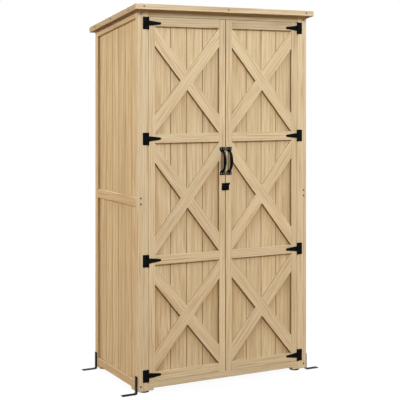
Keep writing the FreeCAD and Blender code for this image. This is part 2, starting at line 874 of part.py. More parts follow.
pull_half = "(pull_length / 2)"
plate_foot = f"({pull_half} - pull_plate_height)"
upper_plate = rectangle("-pull_plate_width / 2", "pull_plate_width / 2", plate_foot, pull_half)
lower_plate = [(x, f"-{z}") for x, z in upper_plate]
pull = new_body("Pull")
extrude(pull, "Y", "-pull_plate_thick", "pull_plate_thick", [upper_plate, lower_plate])
foot_height = value(plate_foot)
dress(pull, "Fillet", "pull_plate_round", "Y", lambda middle: abs(middle.z) < foot_height + NEAR)


def grip_section(turn):
    """Section of the grip in a plane through the X axis, turned from the grip's middle in degrees.

    The sections' middles lie on half an ellipse, and they grow toward the middle.
    """
    sketch = new_sketch(pull, "Z", "0")
    sketch.setExpression("AttachmentOffset.Rotation.Axis.x", "1")
    sketch.setExpression("AttachmentOffset.Rotation.Axis.z", "0")
    sketch.setExpression("AttachmentOffset.Rotation.Angle", f"{-turn} deg")
    reach = f"1 / sqrt((cos({turn} deg) / pull_rise)^2 + (sin({turn} deg) / (pull_span / 2))^2)"
    radius = f"pull_neck_radius + (pull_grip_radius - pull_neck_radius) * cos({turn} deg)"
    draw_outline(sketch, barrel("0", f"-{reach}", radius, SIZES["pull_grip_sides"]))
    return sketch


grip_turns = [180 * step / SIZES["pull_grip_steps"] - 90 for step in range(SIZES["pull_grip_steps"] + 1)]
sections = [grip_section(turn) for turn in grip_turns]
grip = pull.newObject("PartDesign::AdditiveLoft", "Grip")
grip.Profile = sections[0]
grip.Sections = sections[1:]
grip.Ruled = True
left_pull = copy_at(pull, "LeftPull", "-pull_offset", "front", "pull_centre_height")
left_handle = gather("LeftHandle", [left_pull])
node(left_handle, "left_handle")
node(mirrored("RightHandle", left_handle), "right_handle")

# Sliding bolt: base on the left door, keeper on the right


def bolt_hump(body, start, length):
    """A plate's raised hump round the bolt, before it is bored."""
    extrude(body, "X", start, length, [[
        ("front", "bolt_height + hump_radius"),
        *arc_points("bolt_y", "bolt_height", "hump_radius", 90, 270, SIZES["barrel_sides"] // 2 + 1),
        ("front", "bolt_height - hump_radius"),
    ]])


def latch_plate(body, start, length):
    """A latch's back plate with eased corners."""
    extrude(body, "X", start, length, [rectangle(
        "front - latch_plate_thick", "front", "latch_bottom", "latch_bottom + latch_height",
    )])
    dress(body, "Chamfer", "latch_plate_thick", "Y")


latch_bore = barrel_bore("bolt_y", "bolt_height", "bolt_radius + bolt_clearance")
latch_base = new_body("LatchBase")
latch_plate(latch_base, "-base_far_edge", "latch_base_width")
bolt_hump(latch_base, "-base_far_edge", "latch_base_width")
cut_through(latch_base, "X", [latch_bore])
slot_half = "(knob_radius + bolt_clearance)"
cut_through(latch_base, "Y", [rectangle(
    f"-knob_start - {slot_half}", f"-knob_start + bolt_travel + {slot_half}",
    f"bolt_height - {slot_half}", f"bolt_height + {slot_half}",
)], start="bolt_y - hump_radius", length="hump_radius")
node(latch_base, "latch_base")

bolt_middle = value("-base_edge - latch_base_width / 2")


def nose_side(middle):
    return middle.x > bolt_middle


bolt = new_body("LatchBolt")
extrude(bolt, "X", "-base_far_edge + bolt_end_gap", "latch_base_width - 2 * bolt_end_gap", circles=[
    ("bolt_y", "bolt_height", "bolt_radius"),
])
dress_edges(bolt, "Chamfer", "bolt_nose_bevel", lambda shape: rims(shape, nose_side))
extrude(bolt, "Y", "bolt_y - knob_reach", "knob_reach", [barrel("-knob_start", "bolt_height", "knob_radius")])
extrude(bolt, "Y", "bolt_y - knob_reach", "knob_tip_length", [
    barrel("-knob_start", "bolt_height", "knob_tip_radius"),
])
node(bolt, "latch_bolt")

keeper = new_body("LatchKeeper")
latch_plate(keeper, "base_edge", "keeper_width")
extrude(keeper, "X", "base_edge", "hoop_width", [[
    ("front - latch_plate_thick", "bolt_height - hoop_outside"),
    ("bolt_y - hoop_outside + hoop_corner", "bolt_height - hoop_outside"),
    ("bolt_y - hoop_outside", "bolt_height - hoop_outside + hoop_corner"),
    ("bolt_y - hoop_outside", "bolt_height + hoop_outside - hoop_corner"),
    ("bolt_y - hoop_outside + hoop_corner", "bolt_height + hoop_outside"),
    ("front - latch_plate_thick", "bolt_height + hoop_outside"),
]])
cut_through(keeper, "X", [rectangle(
    "bolt_y - hoop_inside", "front - latch_plate_thick",
    "bolt_height - hoop_inside", "bolt_height + hoop_inside",
)])
ear_foot = "latch_bottom + latch_height - ear_height"
extrude(keeper, "X", "keeper_far_edge - latch_plate_thick", "latch_plate_thick", [rectangle(
    "front - ear_reach", "front", ear_foot, f"{ear_foot} + ear_height",
)])
cut_through(keeper, "X", circles=[
    ("front - ear_reach + ear_height / 2", f"{ear_foot} + ear_height / 2", "ear_hole_radius"),
])
node(keeper, "latch_keeper")

# Roof, built level and then tilted about the top of the front wall


def tilted(piece):
    """Sets a piece of the roof on the walls, sloping down to the back."""
    piece.Placement = Placement(Vector(0, 0, 0), Rotation(Vector(-1, 0, 0), SIZES["roof_pitch"]))
    piece.setExpression("Placement.Rotation.Angle", ex("roof_pitch"))
    piece.setExpression("Placement.Base.y", ex("front"))
    piece.setExpression("Placement.Base.z", ex("front_wall_height"))
    return piece


deck_side = "roof_side - fascia_thick"
deck_start = "slope_start + fascia_thick"
deck_run = "(slope_end - slope_start - 2 * fascia_thick)"
deck_room = new_body("DeckRoom")
extrude(deck_room, "Z", "0", "deck_thick", [rectangle(
    f"-({deck_side})", deck_side, deck_start, f"{deck_start} + {deck_run}",
)])
deck = level_boards("Deck", "deck_board_count", "deck_thick", "0", "+", deck_start, deck_run, deck_room)
node(tilted(deck), "roof_deck")

front_fascia = strip("FrontFascia", "X", rectangle(
    "slope_start", deck_start, "fascia_foot", "fascia_top",
), "-roof_side", "2 * roof_side")
node(tilted(front_fascia), "roof_front_fascia")
rear_fascia = strip("RearFascia", "X", rectangle(
    "slope_end - fascia_thick", "slope_end", "fascia_foot", "deck_thick",
), "-roof_side", "2 * roof_side")
node(tilted(rear_fascia), "roof_rear_fascia")
side_fascia = tilted(strip("SideFascia", "Y", rectangle(
    "-roof_side", f"-({deck_side})", "fascia_foot", "fascia_top",
), deck_start, deck_run))
node(side_fascia, "roof_left_fascia")
node(mirrored("RoofRightFascia", side_fascia), "roof_right_fascia")

felt = strip("Felt", "Z", rectangle(
    f"-({deck_side} - felt_edge_gap)", f"{deck_side} - felt_edge_gap",
    f"{deck_start} + felt_edge_gap", "slope_end - edge_ease",
), "deck_thick", "felt_thick", eased=False)
node(tilted(felt), "roof_felt")

roof_batten = strip("RoofBatten", "X", rectangle(
    "0", "roof_batten_width", "-roof_batten_thick", "0",
), f"-({floor_edge})", f"2 * ({floor_edge})")
node(tilted(copies("RoofBattens", roof_batten, [
    ("0", "roof_batten_front", "0"),
    ("0", "body_depth / tilt - roof_batten_back - roof_batten_width", "0"),
])), "roof_battens")

# Checks and files

doc.recompute()
for item in doc.Objects:
    if "Invalid" in item.State or "Error" in item.State:
        raise ValueError(f"{item.Label} failed to build")

labels = [piece.Label for piece in NODES]
if len(set(labels)) != len(labels):
    raise ValueError("two pieces share a name")

os.makedirs("parts", exist_ok=True)
for piece in NODES:
    shape = piece.Shape
    if shape.isNull() or not shape.isValid() or not shape.Solids:
        raise ValueError(f"{piece.Label} has no valid solid")
    shape.exportStep(f"parts/{piece.Label}.step")
    box = shape.BoundBox
    print(f"{piece.Label:24s} solids {len(shape.Solids):3d}  x {box.XMin:8.1f} {box.XMax:8.1f}"
          f"  y {box.YMin:8.1f} {box.YMax:8.1f}  z {box.ZMin:8.1f} {box.ZMax:8.1f}")
print(len(NODES), "nodes")
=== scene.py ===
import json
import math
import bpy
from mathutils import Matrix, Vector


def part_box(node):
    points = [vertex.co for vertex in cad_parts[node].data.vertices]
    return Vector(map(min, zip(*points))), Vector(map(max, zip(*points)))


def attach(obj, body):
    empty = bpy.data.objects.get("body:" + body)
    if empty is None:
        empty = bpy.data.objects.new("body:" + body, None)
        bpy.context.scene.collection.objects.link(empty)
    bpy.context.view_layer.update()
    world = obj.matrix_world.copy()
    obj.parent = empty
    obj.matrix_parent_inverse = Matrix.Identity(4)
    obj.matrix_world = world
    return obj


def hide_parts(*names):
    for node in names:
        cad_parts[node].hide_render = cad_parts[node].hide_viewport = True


bl_info = {
    "name": "Garden Storage Cabinet",
    "version": (1, 0, 0),
    "blender": (4, 5, 0),
    "location": "3D View > Sidebar > Cabinet",
    "description": "Finishes a timber garden cabinet in fir, black ironwork and roofing felt",
    "category": "Object",
}

from collections import namedtuple

import bmesh
import bpy
from mathutils import Matrix, Vector

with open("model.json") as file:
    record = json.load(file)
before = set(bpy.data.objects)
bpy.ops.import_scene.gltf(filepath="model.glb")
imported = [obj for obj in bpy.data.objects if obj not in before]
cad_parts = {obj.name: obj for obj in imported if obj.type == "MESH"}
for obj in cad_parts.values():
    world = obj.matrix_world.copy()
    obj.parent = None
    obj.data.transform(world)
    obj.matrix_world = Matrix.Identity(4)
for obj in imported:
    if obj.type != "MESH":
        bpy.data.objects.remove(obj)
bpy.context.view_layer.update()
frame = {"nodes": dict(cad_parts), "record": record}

X = Vector((1, 0, 0))
Y = Vector((0, 1, 0))
Z = Vector((0, 0, 1))
MM = 0.001


# Settings

def colour(name, description, default):
    return bpy.props.FloatVectorProperty(
        name=name, description=description, default=default, subtype="COLOR", min=0, max=1,
    )


def length(name, description, default):
    return bpy.props.FloatProperty(
        name=name, description=description, default=default, unit="LENGTH", min=0, precision=4,
    )


def power(name, description, default):
    return bpy.props.FloatProperty(
        name=name, description=description, default=default, unit="POWER", min=0,
    )


def share(name, description, default, top=1.0):
    return bpy.props.FloatProperty(
        name=name, description=description, default=default, min=0, max=top,
    )


class TimberSettings(bpy.types.PropertyGroup):
    pale: colour("Pale wood", "Earlywood of the frame and the doors", (0.652, 0.549, 0.358))
    warm: colour("Warm wood", "Warmer streaks along the grain", (0.540, 0.410, 0.230))
    late: colour("Latewood", "Thin darker lines between the rings", (0.340, 0.200, 0.085))
    # The joint colour is also the colour of the painted shade on the doors' edges and under the
    # fascias.
    joint: colour("Joint", "Dusk in the joints between boards", (0.230, 0.135, 0.062))
    joint_width: length("Joint width", "Half the width of the dusk in a joint", 2.6 * MM)
    # Painted shade, in the joint colour, on the doors' edges that stand off the boards and look
    # down or sideways.
    edges: share("Sawn edges", "How dark the edges that stand off the boards are", 0.70)
    # Painted shade in the corners of the doors' panels: its colour, and how deep it is.
    dusk: colour("Corner dusk", "Dust and age in the doors' corners", (0.250, 0.132, 0.030))
    corners: share("Corners", "How dark the corners of the doors' panels are", 0.50)
    # Painted shade under the roof: how much darker the timber right under it is made.
    shelter: share("Shelter", "How much deeper the rails right under the roof are", 0.235)
    ring: length("Ring spacing", "Distance between two growth rings", 8.5 * MM)
    ring_depth: share("Ring contrast", "How strongly the latewood lines show", 0.25)
    tone_spread: share("Tone spread", "How much one board differs from the next", 0.09)
    relief: length("Grain relief", "Height of the raised grain", 0.35 * MM)


class IronSettings(bpy.types.PropertyGroup):
    coat: colour("Powder coat", "Black coat of the fittings", (0.0024, 0.0026, 0.0032))
    roughness: share("Roughness", "Roughness of the coat", 0.38)
    sheen: share("Sheen", "How strongly the coat mirrors the room", 0.04)
    steel: colour("Screw steel", "Steel of the handles' screws", (0.200, 0.205, 0.215))
    dark_steel: colour("Dark steel", "Steel of the timber's screws", (0.120, 0.115, 0.125))
    edge: length("Eased edge", "Width of the worn edge of plates", 0.45 * MM)


class HandleSettings(bpy.types.PropertyGroup):
    rise: length("Rise", "How far the grip's middle line stands off the door", 29.0 * MM)
    span: length("Span", "Distance between the grip's two feet", 98 * MM)
    grip_width: length("Grip width", "Half the width of the grip at its middle", 8.0 * MM)
    grip_depth: length("Grip depth", "Half the depth of the grip at its middle", 7.8 * MM)
    neck_radius: length("Neck radius", "Radius of the grip at its feet", 4.2 * MM)
    cast_grain: length("Cast grain", "Size of the cells that blend the casting", 0.75 * MM)


class ScrewSettings(bpy.types.PropertyGroup):
    small_radius: length("Small head radius", "Radius of the fittings' screw heads", 3.0 * MM)
    small_height: length("Small head height", "Height of the fittings' screw heads", 1.5 * MM)
    frame_radius: length("Frame head radius", "Radius of the timber's screw heads", 4.5 * MM)
    frame_height: length("Frame head height", "Height of the timber's screw heads", 1.5 * MM)


class CoverSettings(bpy.types.PropertyGroup):
    felt: colour("Felt", "Darkest grains of the roofing felt", (0.028, 0.031, 0.030))
    grit: colour("Grit", "Palest grains of the roofing felt", (0.105, 0.112, 0.106))
    dust: colour("Dust", "Dust that lies on the felt in patches", (0.16, 0.15, 0.13))
    rubber: colour("Rubber", "Rubber of the foot pads", (0.006, 0.006, 0.006))
    bloom: colour("Bloom", "Paler bloom on the rubber", (0.016, 0.016, 0.015))


class StageSettings(bpy.types.PropertyGroup):
    key: power("Key", "Power of the key light", 476)
    top: power("Top", "Power of the overhead light", 70)
    fill: power("Fill", "Power of the side light", 204)
    rear: power("Rear", "Power of the rear lights", 380)
    sky: share("Sky", "Strength of the light from all round", 0.08, top=4)
    white: share("White floor", "How far the floor near the cabinet is lifted to white", 0.95)
    bounce: colour("Bounce", "Light that the floor throws back", (0.35, 0.208, 0.095))


# Node trees

def maths(operation, turned=False):
    """A method that adds a Math node; a reflected form has its values turned round."""
    def method(*values):
        ordered = values[::-1] if turned else values
        return values[0].tree.add("ShaderNodeMath", ordered, operation=operation)
    return method


class Wire:
    """A socket's value: arithmetic on it adds the Math nodes."""

    def __init__(self, tree, socket):
        self.tree = tree
        self.socket = socket

    def output(self, name):
        """Another output of the same node."""
        return Wire(self.tree, self.socket.node.outputs[name])

    __add__ = maths("ADD")
    __radd__ = maths("ADD", turned=True)
    __sub__ = maths("SUBTRACT")
    __rsub__ = maths("SUBTRACT", turned=True)
    __mul__ = maths("MULTIPLY")
    __rmul__ = maths("MULTIPLY", turned=True)
    __truediv__ = maths("DIVIDE")
    __pow__ = maths("POWER")
    __lt__ = maths("LESS_THAN")
    __gt__ = maths("GREATER_THAN")
    __abs__ = maths("ABSOLUTE")
    __round__ = maths("ROUND")
    floor = maths("FLOOR")
    fract = maths("FRACT")
    root = maths("SQRT")
    least = maths("MINIMUM")
    most = maths("MAXIMUM")

    def __neg__(self):
        return self * -1.0

    def between(self, low, high):
        """1 from low to high, and 0 outside."""
        return (self > low) * (self < high)


def rgba(colour):
    return (*colour, 1.0)


class Tree:
    """Adds nodes to a shader's or a geometry's node tree."""

    def __init__(self, tree):
        self.tree = tree

    def add(self, kind, sockets=(), output=0, **settings):
        """A node: its settings come first, then the values or links of its sockets."""
        node = self.tree.nodes.new(kind)
        for name, setting in settings.items():
            if name == "stops":
                self.set_stops(node.color_ramp, setting)
            else:
                setattr(node, name, setting)
        pairs = sockets.items() if isinstance(sockets, dict) else enumerate(sockets)
        for key, given in pairs:
            if isinstance(given, Wire):
                self.tree.links.new(given.socket, node.inputs[key])
            else:
                node.inputs[key].default_value = given
        return Wire(self, node.outputs[output]) if node.outputs else node

    @staticmethod
    def set_stops(ramp, stops):
        while len(ramp.elements) < len(stops):
            ramp.elements.new(1.0)
        for element, (position, value) in zip(ramp.elements, stops):
            element.position = position
            element.color = (value, value, value, 1.0)

    def place(self):
        return self.add("ShaderNodeTexCoord", output="Object")

    def facing(self, direction):
        """How far a surface faces a direction, from -1 to 1."""
        return self.dot(self.add("ShaderNodeTexCoord", output="Normal"), direction)

    def dot(self, vector, direction):
        return self.add(
            "ShaderNodeVectorMath", (vector, direction), "Value", operation="DOT_PRODUCT",
        )

    def vector(self, *parts):
        return self.add("ShaderNodeCombineXYZ", parts)

    def noise(self, vector, scale, detail=2.0, roughness=0.5):
        return self.add("ShaderNodeTexNoise", {
            "Vector": vector, "Scale": scale, "Detail": detail, "Roughness": roughness,
        })

    def ramp(self, value, *stops):
        return self.add("ShaderNodeValToRGB", (value,), stops=stops)

    def blend(self, factor, first, second):
        """One colour mixed into another."""
        first, second = (
            given if isinstance(given, Wire) else rgba(given) for given in (first, second)
        )
        return self.add("ShaderNodeMix", {0: factor, 6: first, 7: second}, 2, data_type="RGBA")


def new_material(name):
    """An empty material and its tree."""
    material = bpy.data.materials.new(name)
    material.use_nodes = True
    material.node_tree.nodes.clear()
    return material, Tree(material.node_tree)


def finish_material(tree, bump, relief, **sockets):
    """Ends a tree in a Principled shader; bump is the relief as a value from 0 to 1."""
    named = {
        name.replace("_", " ").title().replace("Ior", "IOR"): value
        for name, value in sockets.items()
    }
    named["Normal"] = tree.add("ShaderNodeBump", {
        "Height": bump, "Distance": relief, "Strength": 1.0,
    }, "Normal")
    shader = tree.add("ShaderNodeBsdfPrincipled", named)
    tree.add("ShaderNodeOutputMaterial", {"Surface": shader})


def mottled(tree, pattern, start, first, second, top=1.0):
    """One colour that passes into another, up to a top share, where a pattern rises from start."""
    return tree.blend(tree.ramp(pattern, (start, 0.0), (0.75, top)), first, second)


# Pieces

MERGE = 0.002 * MM
"""Corners of a CAD node's loose triangles that are nearer than this are one."""
EDGE_MARGIN = 0.1 * MM
"""Corners of a node that are nearer than this to its right side move with that side."""
FLAT = math.radians(1)
SHARP = math.radians(42)
"""Faces that turn less than FLAT become one, and edges that turn more than SHARP are eased."""
BEVEL_STEPS = 2
SMOOTH = 34
SMOOTH_SCREW = 50
"""The most degrees between two faces that are shaded as one."""


def merged_copy(node):
    """A CAD node's mesh with its loose triangles joined."""
    mesh = bmesh.new()
    mesh.from_mesh(frame["nodes"][node].data)
    bmesh.ops.remove_doubles(mesh, verts=mesh.verts, dist=MERGE)
    return mesh


def solids_of(node):
    """The lowest and highest corner of each solid of a CAD node, from the ground up, and at the
    same height from left to right and from front to back."""
    mesh = merged_copy(node)
    left = set(mesh.verts)
    boxes = []
    while left:
        reached = [left.pop()]
        for vertex in reached:
            for edge in vertex.link_edges:
                other = edge.other_vert(vertex)
                if other in left:
                    left.remove(other)
                    reached.append(other)
        low = Vector(min(v.co[i] for v in reached) for i in range(3))
        high = Vector(max(v.co[i] for v in reached) for i in range(3))
        boxes.append((low, high))
    mesh.free()
    return sorted(boxes, key=lambda box: (round(box[0].z, 4), round(box[0].x, 4), box[0].y))


def body_of(node):
    """The body that carries a CAD node."""
    for body, members in frame["record"]["behaviour"]["bodies"].items():
        if node in members:
            return body
    raise RuntimeError(f"no body carries {node}")


def linked(name, data):
    """A new object in the scene."""
    obj = bpy.data.objects.new(name, data)
    bpy.context.collection.objects.link(obj)
    return obj


def applied(obj, name):
    """A plain mesh object made of obj with its modifiers; obj itself is removed."""
    context = bpy.context
    context.view_layer.update()
    evaluated = obj.evaluated_get(context.evaluated_depsgraph_get())
    result = linked(name, bpy.data.meshes.new_from_object(evaluated))
    bpy.data.objects.remove(obj)
    return result


def object_from(name, mesh):
    """An object made of a bmesh, which is freed."""
    data = bpy.data.meshes.new(name)
    mesh.to_mesh(data)
    mesh.free()
    return linked(name, data)


def smooth(obj, degrees=SMOOTH):
    obj.data.shade_smooth()
    obj.data.set_sharp_from_angle(angle=math.radians(degrees))


def eased_copy(node, name, width, lap=0.0):
    """A CAD node's shape with its sharp edges slightly rounded and its right side moved by lap."""
    mesh = merged_copy(node)
    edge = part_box(node)[1].x - EDGE_MARGIN
    for vertex in mesh.verts:
        if vertex.co.x > edge:
            vertex.co.x += lap
    bmesh.ops.dissolve_limit(mesh, angle_limit=FLAT, verts=mesh.verts, edges=mesh.edges)
    obj = object_from(name + "_sharp", mesh)
    bevel = obj.modifiers.new("Eased edges", "BEVEL")
    bevel.width = width
    bevel.segments = BEVEL_STEPS
    bevel.limit_method = "ANGLE"
    bevel.angle_limit = SHARP
    result = applied(obj, name)
    smooth(result)
    return result


def add_prism(mesh, outline, place):
    """A closed prism on an outline; place(u, v, end) gives each corner of its two ends."""
    rings = [[mesh.verts.new(place(u, v, end)) for u, v in outline] for end in (0, 1)]
    count = len(outline)
    for step in range(count):
        after = (step + 1) % count
        mesh.faces.new((rings[0][step], rings[0][after], rings[1][after], rings[1][step]))
    mesh.faces.new(reversed(rings[0]))
    mesh.faces.new(rings[1])


def paint(obj, material):
    obj.data.materials.clear()
    obj.data.materials.append(material)


def put(obj, body, slot, material, *nodes):
    """Finishes a new piece: its material and body, and hides the nodes that it stands for; slot is
    not used.
    """
    paint(obj, material)
    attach(obj, body)
    if nodes:
        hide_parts(*nodes)
    return obj


# Fir

Grain = namedtuple("Grain", "along across cells pitch start")
"""How a node is sawn: the way its grain runs, the way across a board's face, and the direction in
which its boards or rails follow each other, from start, one pitch apart."""

Growth = namedtuple("Growth", "run second third late fibre streak broad patch")
"""How a node's boards grew: run counts the boards, second and third are each board's own luck, late
is the latewood of the rings, and the others are noise drawn out along the grain, fine to coarse."""

BOARD = 82.15 * MM
SIDE_BOARD = 76.2 * MM
SIDE_START = -243.7 * MM
WALL_START = -6 * BOARD
DOOR_MIDDLE = 199 * MM
PLANK = 89.6 * MM
PLANK_START = -226 * MM
POST_JOINT = 865 * MM
RAIL = 550 * MM
BRACE_START = 50 * MM
WHOLE = 4000 * MM
"""How far apart the boards, planks, rails and braces of a node follow each other, and where their
rows start. A line down the middle of each front post is POST_JOINT from the other post's."""

RISING = Vector((325, 0, 412)).normalized()
FALLING = Vector((-325, 0, 412)).normalized()

UPRIGHT = Grain(Z, X, X, WHOLE, -WHOLE / 2)
FRONT_POST = Grain(Z, X, X, POST_JOINT, -1.5 * POST_JOINT)
SIDE_UPRIGHT = Grain(Z, Y, Y, SIDE_BOARD, SIDE_START)
BACK_UPRIGHT = Grain(Z, X, X, BOARD, WALL_START)
LEFT_DOOR = Grain(Z, X, X, BOARD, -DOOR_MIDDLE - 3 * BOARD)
RIGHT_DOOR = Grain(Z, X, X, BOARD, DOOR_MIDDLE - 3 * BOARD)
LEVEL = Grain(X, Z, Z, RAIL, 0.0)
SIDE_LEVEL = Grain(Y, Z, Z, RAIL, 0.0)
BACKWARD = Grain(Y, X, X, BOARD, WALL_START)
UP_RIGHT = Grain(RISING, RISING.cross(Y), Z, RAIL, BRACE_START)
UP_LEFT = Grain(FALLING, FALLING.cross(Y), Z, RAIL, BRACE_START)
SHELF = Grain(X, Y, Y, PLANK, PLANK_START)
BLOCK = Grain(X, Y, X + 0.5 * Y, 400 * MM, -800 * MM)
BEARER = Grain(X, Y, Y, 200 * MM, -300 * MM)
BATTEN = Grain(X, Y, Y, 300 * MM, -300 * MM)


def sided(table):
    """A table of nodes in which a name with a gap stands for the left and for the right one."""
    return {
        name.format(side): value
        for name, value in table.items()
        for side in (("left", "right") if "{}" in name else ("",))
    }


TIMBER = sided({
    "front_{}_post": FRONT_POST,
    "rear_{}_post": UPRIGHT,
    "front_sill_rail": LEVEL,
    "front_header_rail": LEVEL,
    "{}_side_rails": SIDE_LEVEL,
    "{}_side_top_rail": SIDE_LEVEL,
    "{}_side_boards": SIDE_UPRIGHT,
    "back_rails": LEVEL,
    "back_top_rail": LEVEL,
    "back_boards": BACK_UPRIGHT,
    "foot_blocks": BLOCK,
    "floor_bearers": BEARER,
    "floor_boards": BACKWARD,
    "lower_shelf": SHELF,
    "middle_shelf": SHELF,
    "upper_shelf": SHELF,
    "shelf_battens": SIDE_LEVEL,
    "roof_deck": BACKWARD,
    "roof_battens": BATTEN,
    "roof_front_fascia": LEVEL,
    "roof_rear_fascia": LEVEL,
    "roof_{}_fascia": SIDE_LEVEL,
    "left_door_boards": LEFT_DOOR,
    "right_door_boards": RIGHT_DOOR,
    "{}_door_hinge_stile": UPRIGHT,
    "{}_door_lock_stile": UPRIGHT,
    "{}_door_rails": LEVEL,
    "left_door_braces": UP_RIGHT,
    "right_door_braces": UP_LEFT,
    "left_door_half_braces": UP_LEFT,
    "right_door_half_braces": UP_RIGHT,
})
"""How each node of timber is sawn. Their order gives each its luck."""
DOOR_FRAMING = ("stile", "door_rails", "braces")
"""The ends of the names of what stands off the doors' boards."""

PLAIN_WARMTH = 0.42
WARMTH = sided({
    "{}_side_boards": 0.54,
    "back_boards": 0.54,
    "{}_door_boards": 0.54,
    "front_{}_post": 0.30,
    "{}_side_rails": 0.78,
    "roof_front_fascia": 0.50,
    "roof_rear_fascia": 0.90,
    "roof_{}_fascia": 0.90,
})
"""How warm each timber is that isn't plain frame, from 0, pale, to 1."""
JOINTS = sided({
    "{}_side_boards": 0.85,
    "back_boards": 0.85,
    "{}_door_boards": 0.85,
    "front_{}_post": 0.22,
})
"""How dark the joints between a node's boards are."""
ROOF_SHADE_HEIGHTS = (1500 * MM, 1600 * MM)
# Heights at which the painted shade under the roof begins and where it is full.
"""Where the roof's shelter begins and where it is full."""
ROOF_SHADE_SHARES = sided({
    "{}_door_rails": 0.85,
    "{}_door_lock_stile": 0.65,
    "{}_door_hinge_stile": 0.5,
    "front_header_rail": 0.6,
    "{}_side_top_rail": 0.8,
    "roof_front_fascia": 0.35,
    "roof_{}_fascia": 1.15,
    "roof_deck": 1.0,
})
# How much of the painted roof shade darkens each timber near the roof.
"""How much of the shelter setting deepens each timber near the roof."""
FASCIA_UNDER_SHADE = 0.8
# How dark the painted shade on the fascias' undersides is.
"""How dark the fascias are underneath."""

NODE_STEP = 13.7
CELL_STEP = 3.7
"""How far apart the lucks of two nodes, and of two boards, are drawn."""
PITH_SIDE = 200 * MM
PITH_DEPTH = 30 * MM
PITH_DEEPER = 40 * MM
PITH_LEAN = 0.05
"""Where a board's pith may lie: how far to the side, how deep behind the face, how much deeper
still, and how far it leans for each metre along the board."""
BEND = 16 * MM
"""How far the rings wander."""
RING_STEP = 7
"""How far apart the rings of two boards begin."""
BENDS = (7, 1.1, 31)
FIBRES = (620, 9, 53)
STREAKS = (170, 4.0, 17)
BROAD = (34, 1.3, 23)
PATCHES = (9, 2.3, 71)
"""Noise drawn out along the grain: how fine it is across the grain, how fine along it, and how far
apart it begins on two boards."""
RING = ((0.0, 0.0), (0.45, 0.10), (0.86, 1.0), (1.0, 0.0))
WARM_STREAKS = ((0.36, 0.0), (0.64, 1.0))
LATE_STREAKS = ((0.53, 0.0), (0.70, 0.50))
LATE_FIBRES = ((0.52, 0.0), (0.80, 0.42))
BROAD_TONE = 0.08
HUE_SPREAD = 0.004
PLANED = 0.50
"""Roughness of planed fir."""

DOOR_RIM_X = (3 * MM, 395 * MM)
DOOR_RIM_Z = (51.5 * MM, 1691.5 * MM)
# Between these an edge faces a door's boards and takes the painted shade, and beyond them it is the
# door's own rim.
"""Between these a sawn edge faces a door's boards, and beyond them it is the door's own rim."""
EDGE_SHADE_BY_FLATNESS = ((0.3, 1.0), (0.7, 0.0))
UNSHADED_BY_RISE = ((0.28, 0.0), (0.48, 0.90), (0.75, 1.0))
# How much painted shade an edge takes by how far it turns from the boards' face, and how clear of
# it an edge stays that looks down, sideways and up.
"""How clear a sawn edge stays that looks down, sideways and up."""

BRACE_HALF = 43.25 * MM
"""Half of a brace's height, measured upright."""
BRACE_LEAN = 0.62
"""How far a point lies from a brace for each unit straight below it."""
# Painted shade in the corners of the doors' panels: how far below a panel's foot a point already
# counts as in that panel, how far the shade reaches, and its ramps under a brace, beside a stile
# and under a rail, by distance as a share of that reach.
PANEL_MARGIN = 20 * MM
PANEL_SHADE_REACH = 62 * MM
UNDER_BRACE = ((0.0, 0.0), (0.02, 1.0), (0.12, 0.62), (0.45, 0.25), (1.0, 0.0))
BESIDE_STILE = ((0.0, 1.0), (0.12, 0.55), (0.45, 0.2), (1.0, 0.0))
UNDER_RAIL = ((0.0, 0.5), (0.4, 0.1), (0.8, 0.0))
ABOVE_BRACES = 0.15
# How much of the painted shade beside the stiles is left above the braces.
"""How much of the dusk beside the stiles is left above the braces."""
PANEL_SHADE_AT_GROUND = 1.55
PANEL_SHADE_FADE = 0.45
# How deep the painted panel shade is at the ground, and how much it fades with each metre up.
"""How deep the dusk is at the ground, and how much it fades with each metre up."""


def sawn_edges(tree, grain, place):
    """Painted shade: 1 on the edges of a door's stiles, rails and braces that look down onto its
    boards, less on those that look sideways, and 0 on their faces, on top of them and round the
    door's rim."""
    flat = abs(tree.facing(grain.along.cross(grain.across)))
    clear = tree.ramp(tree.facing(Z) / 2 + 0.5, *UNSHADED_BY_RISE)
    inside = abs(tree.dot(place, X)).between(*DOOR_RIM_X) * tree.dot(place, Z).between(*DOOR_RIM_Z)
    return tree.ramp(flat, *EDGE_SHADE_BY_FLATNESS) * (1.0 - clear) * inside


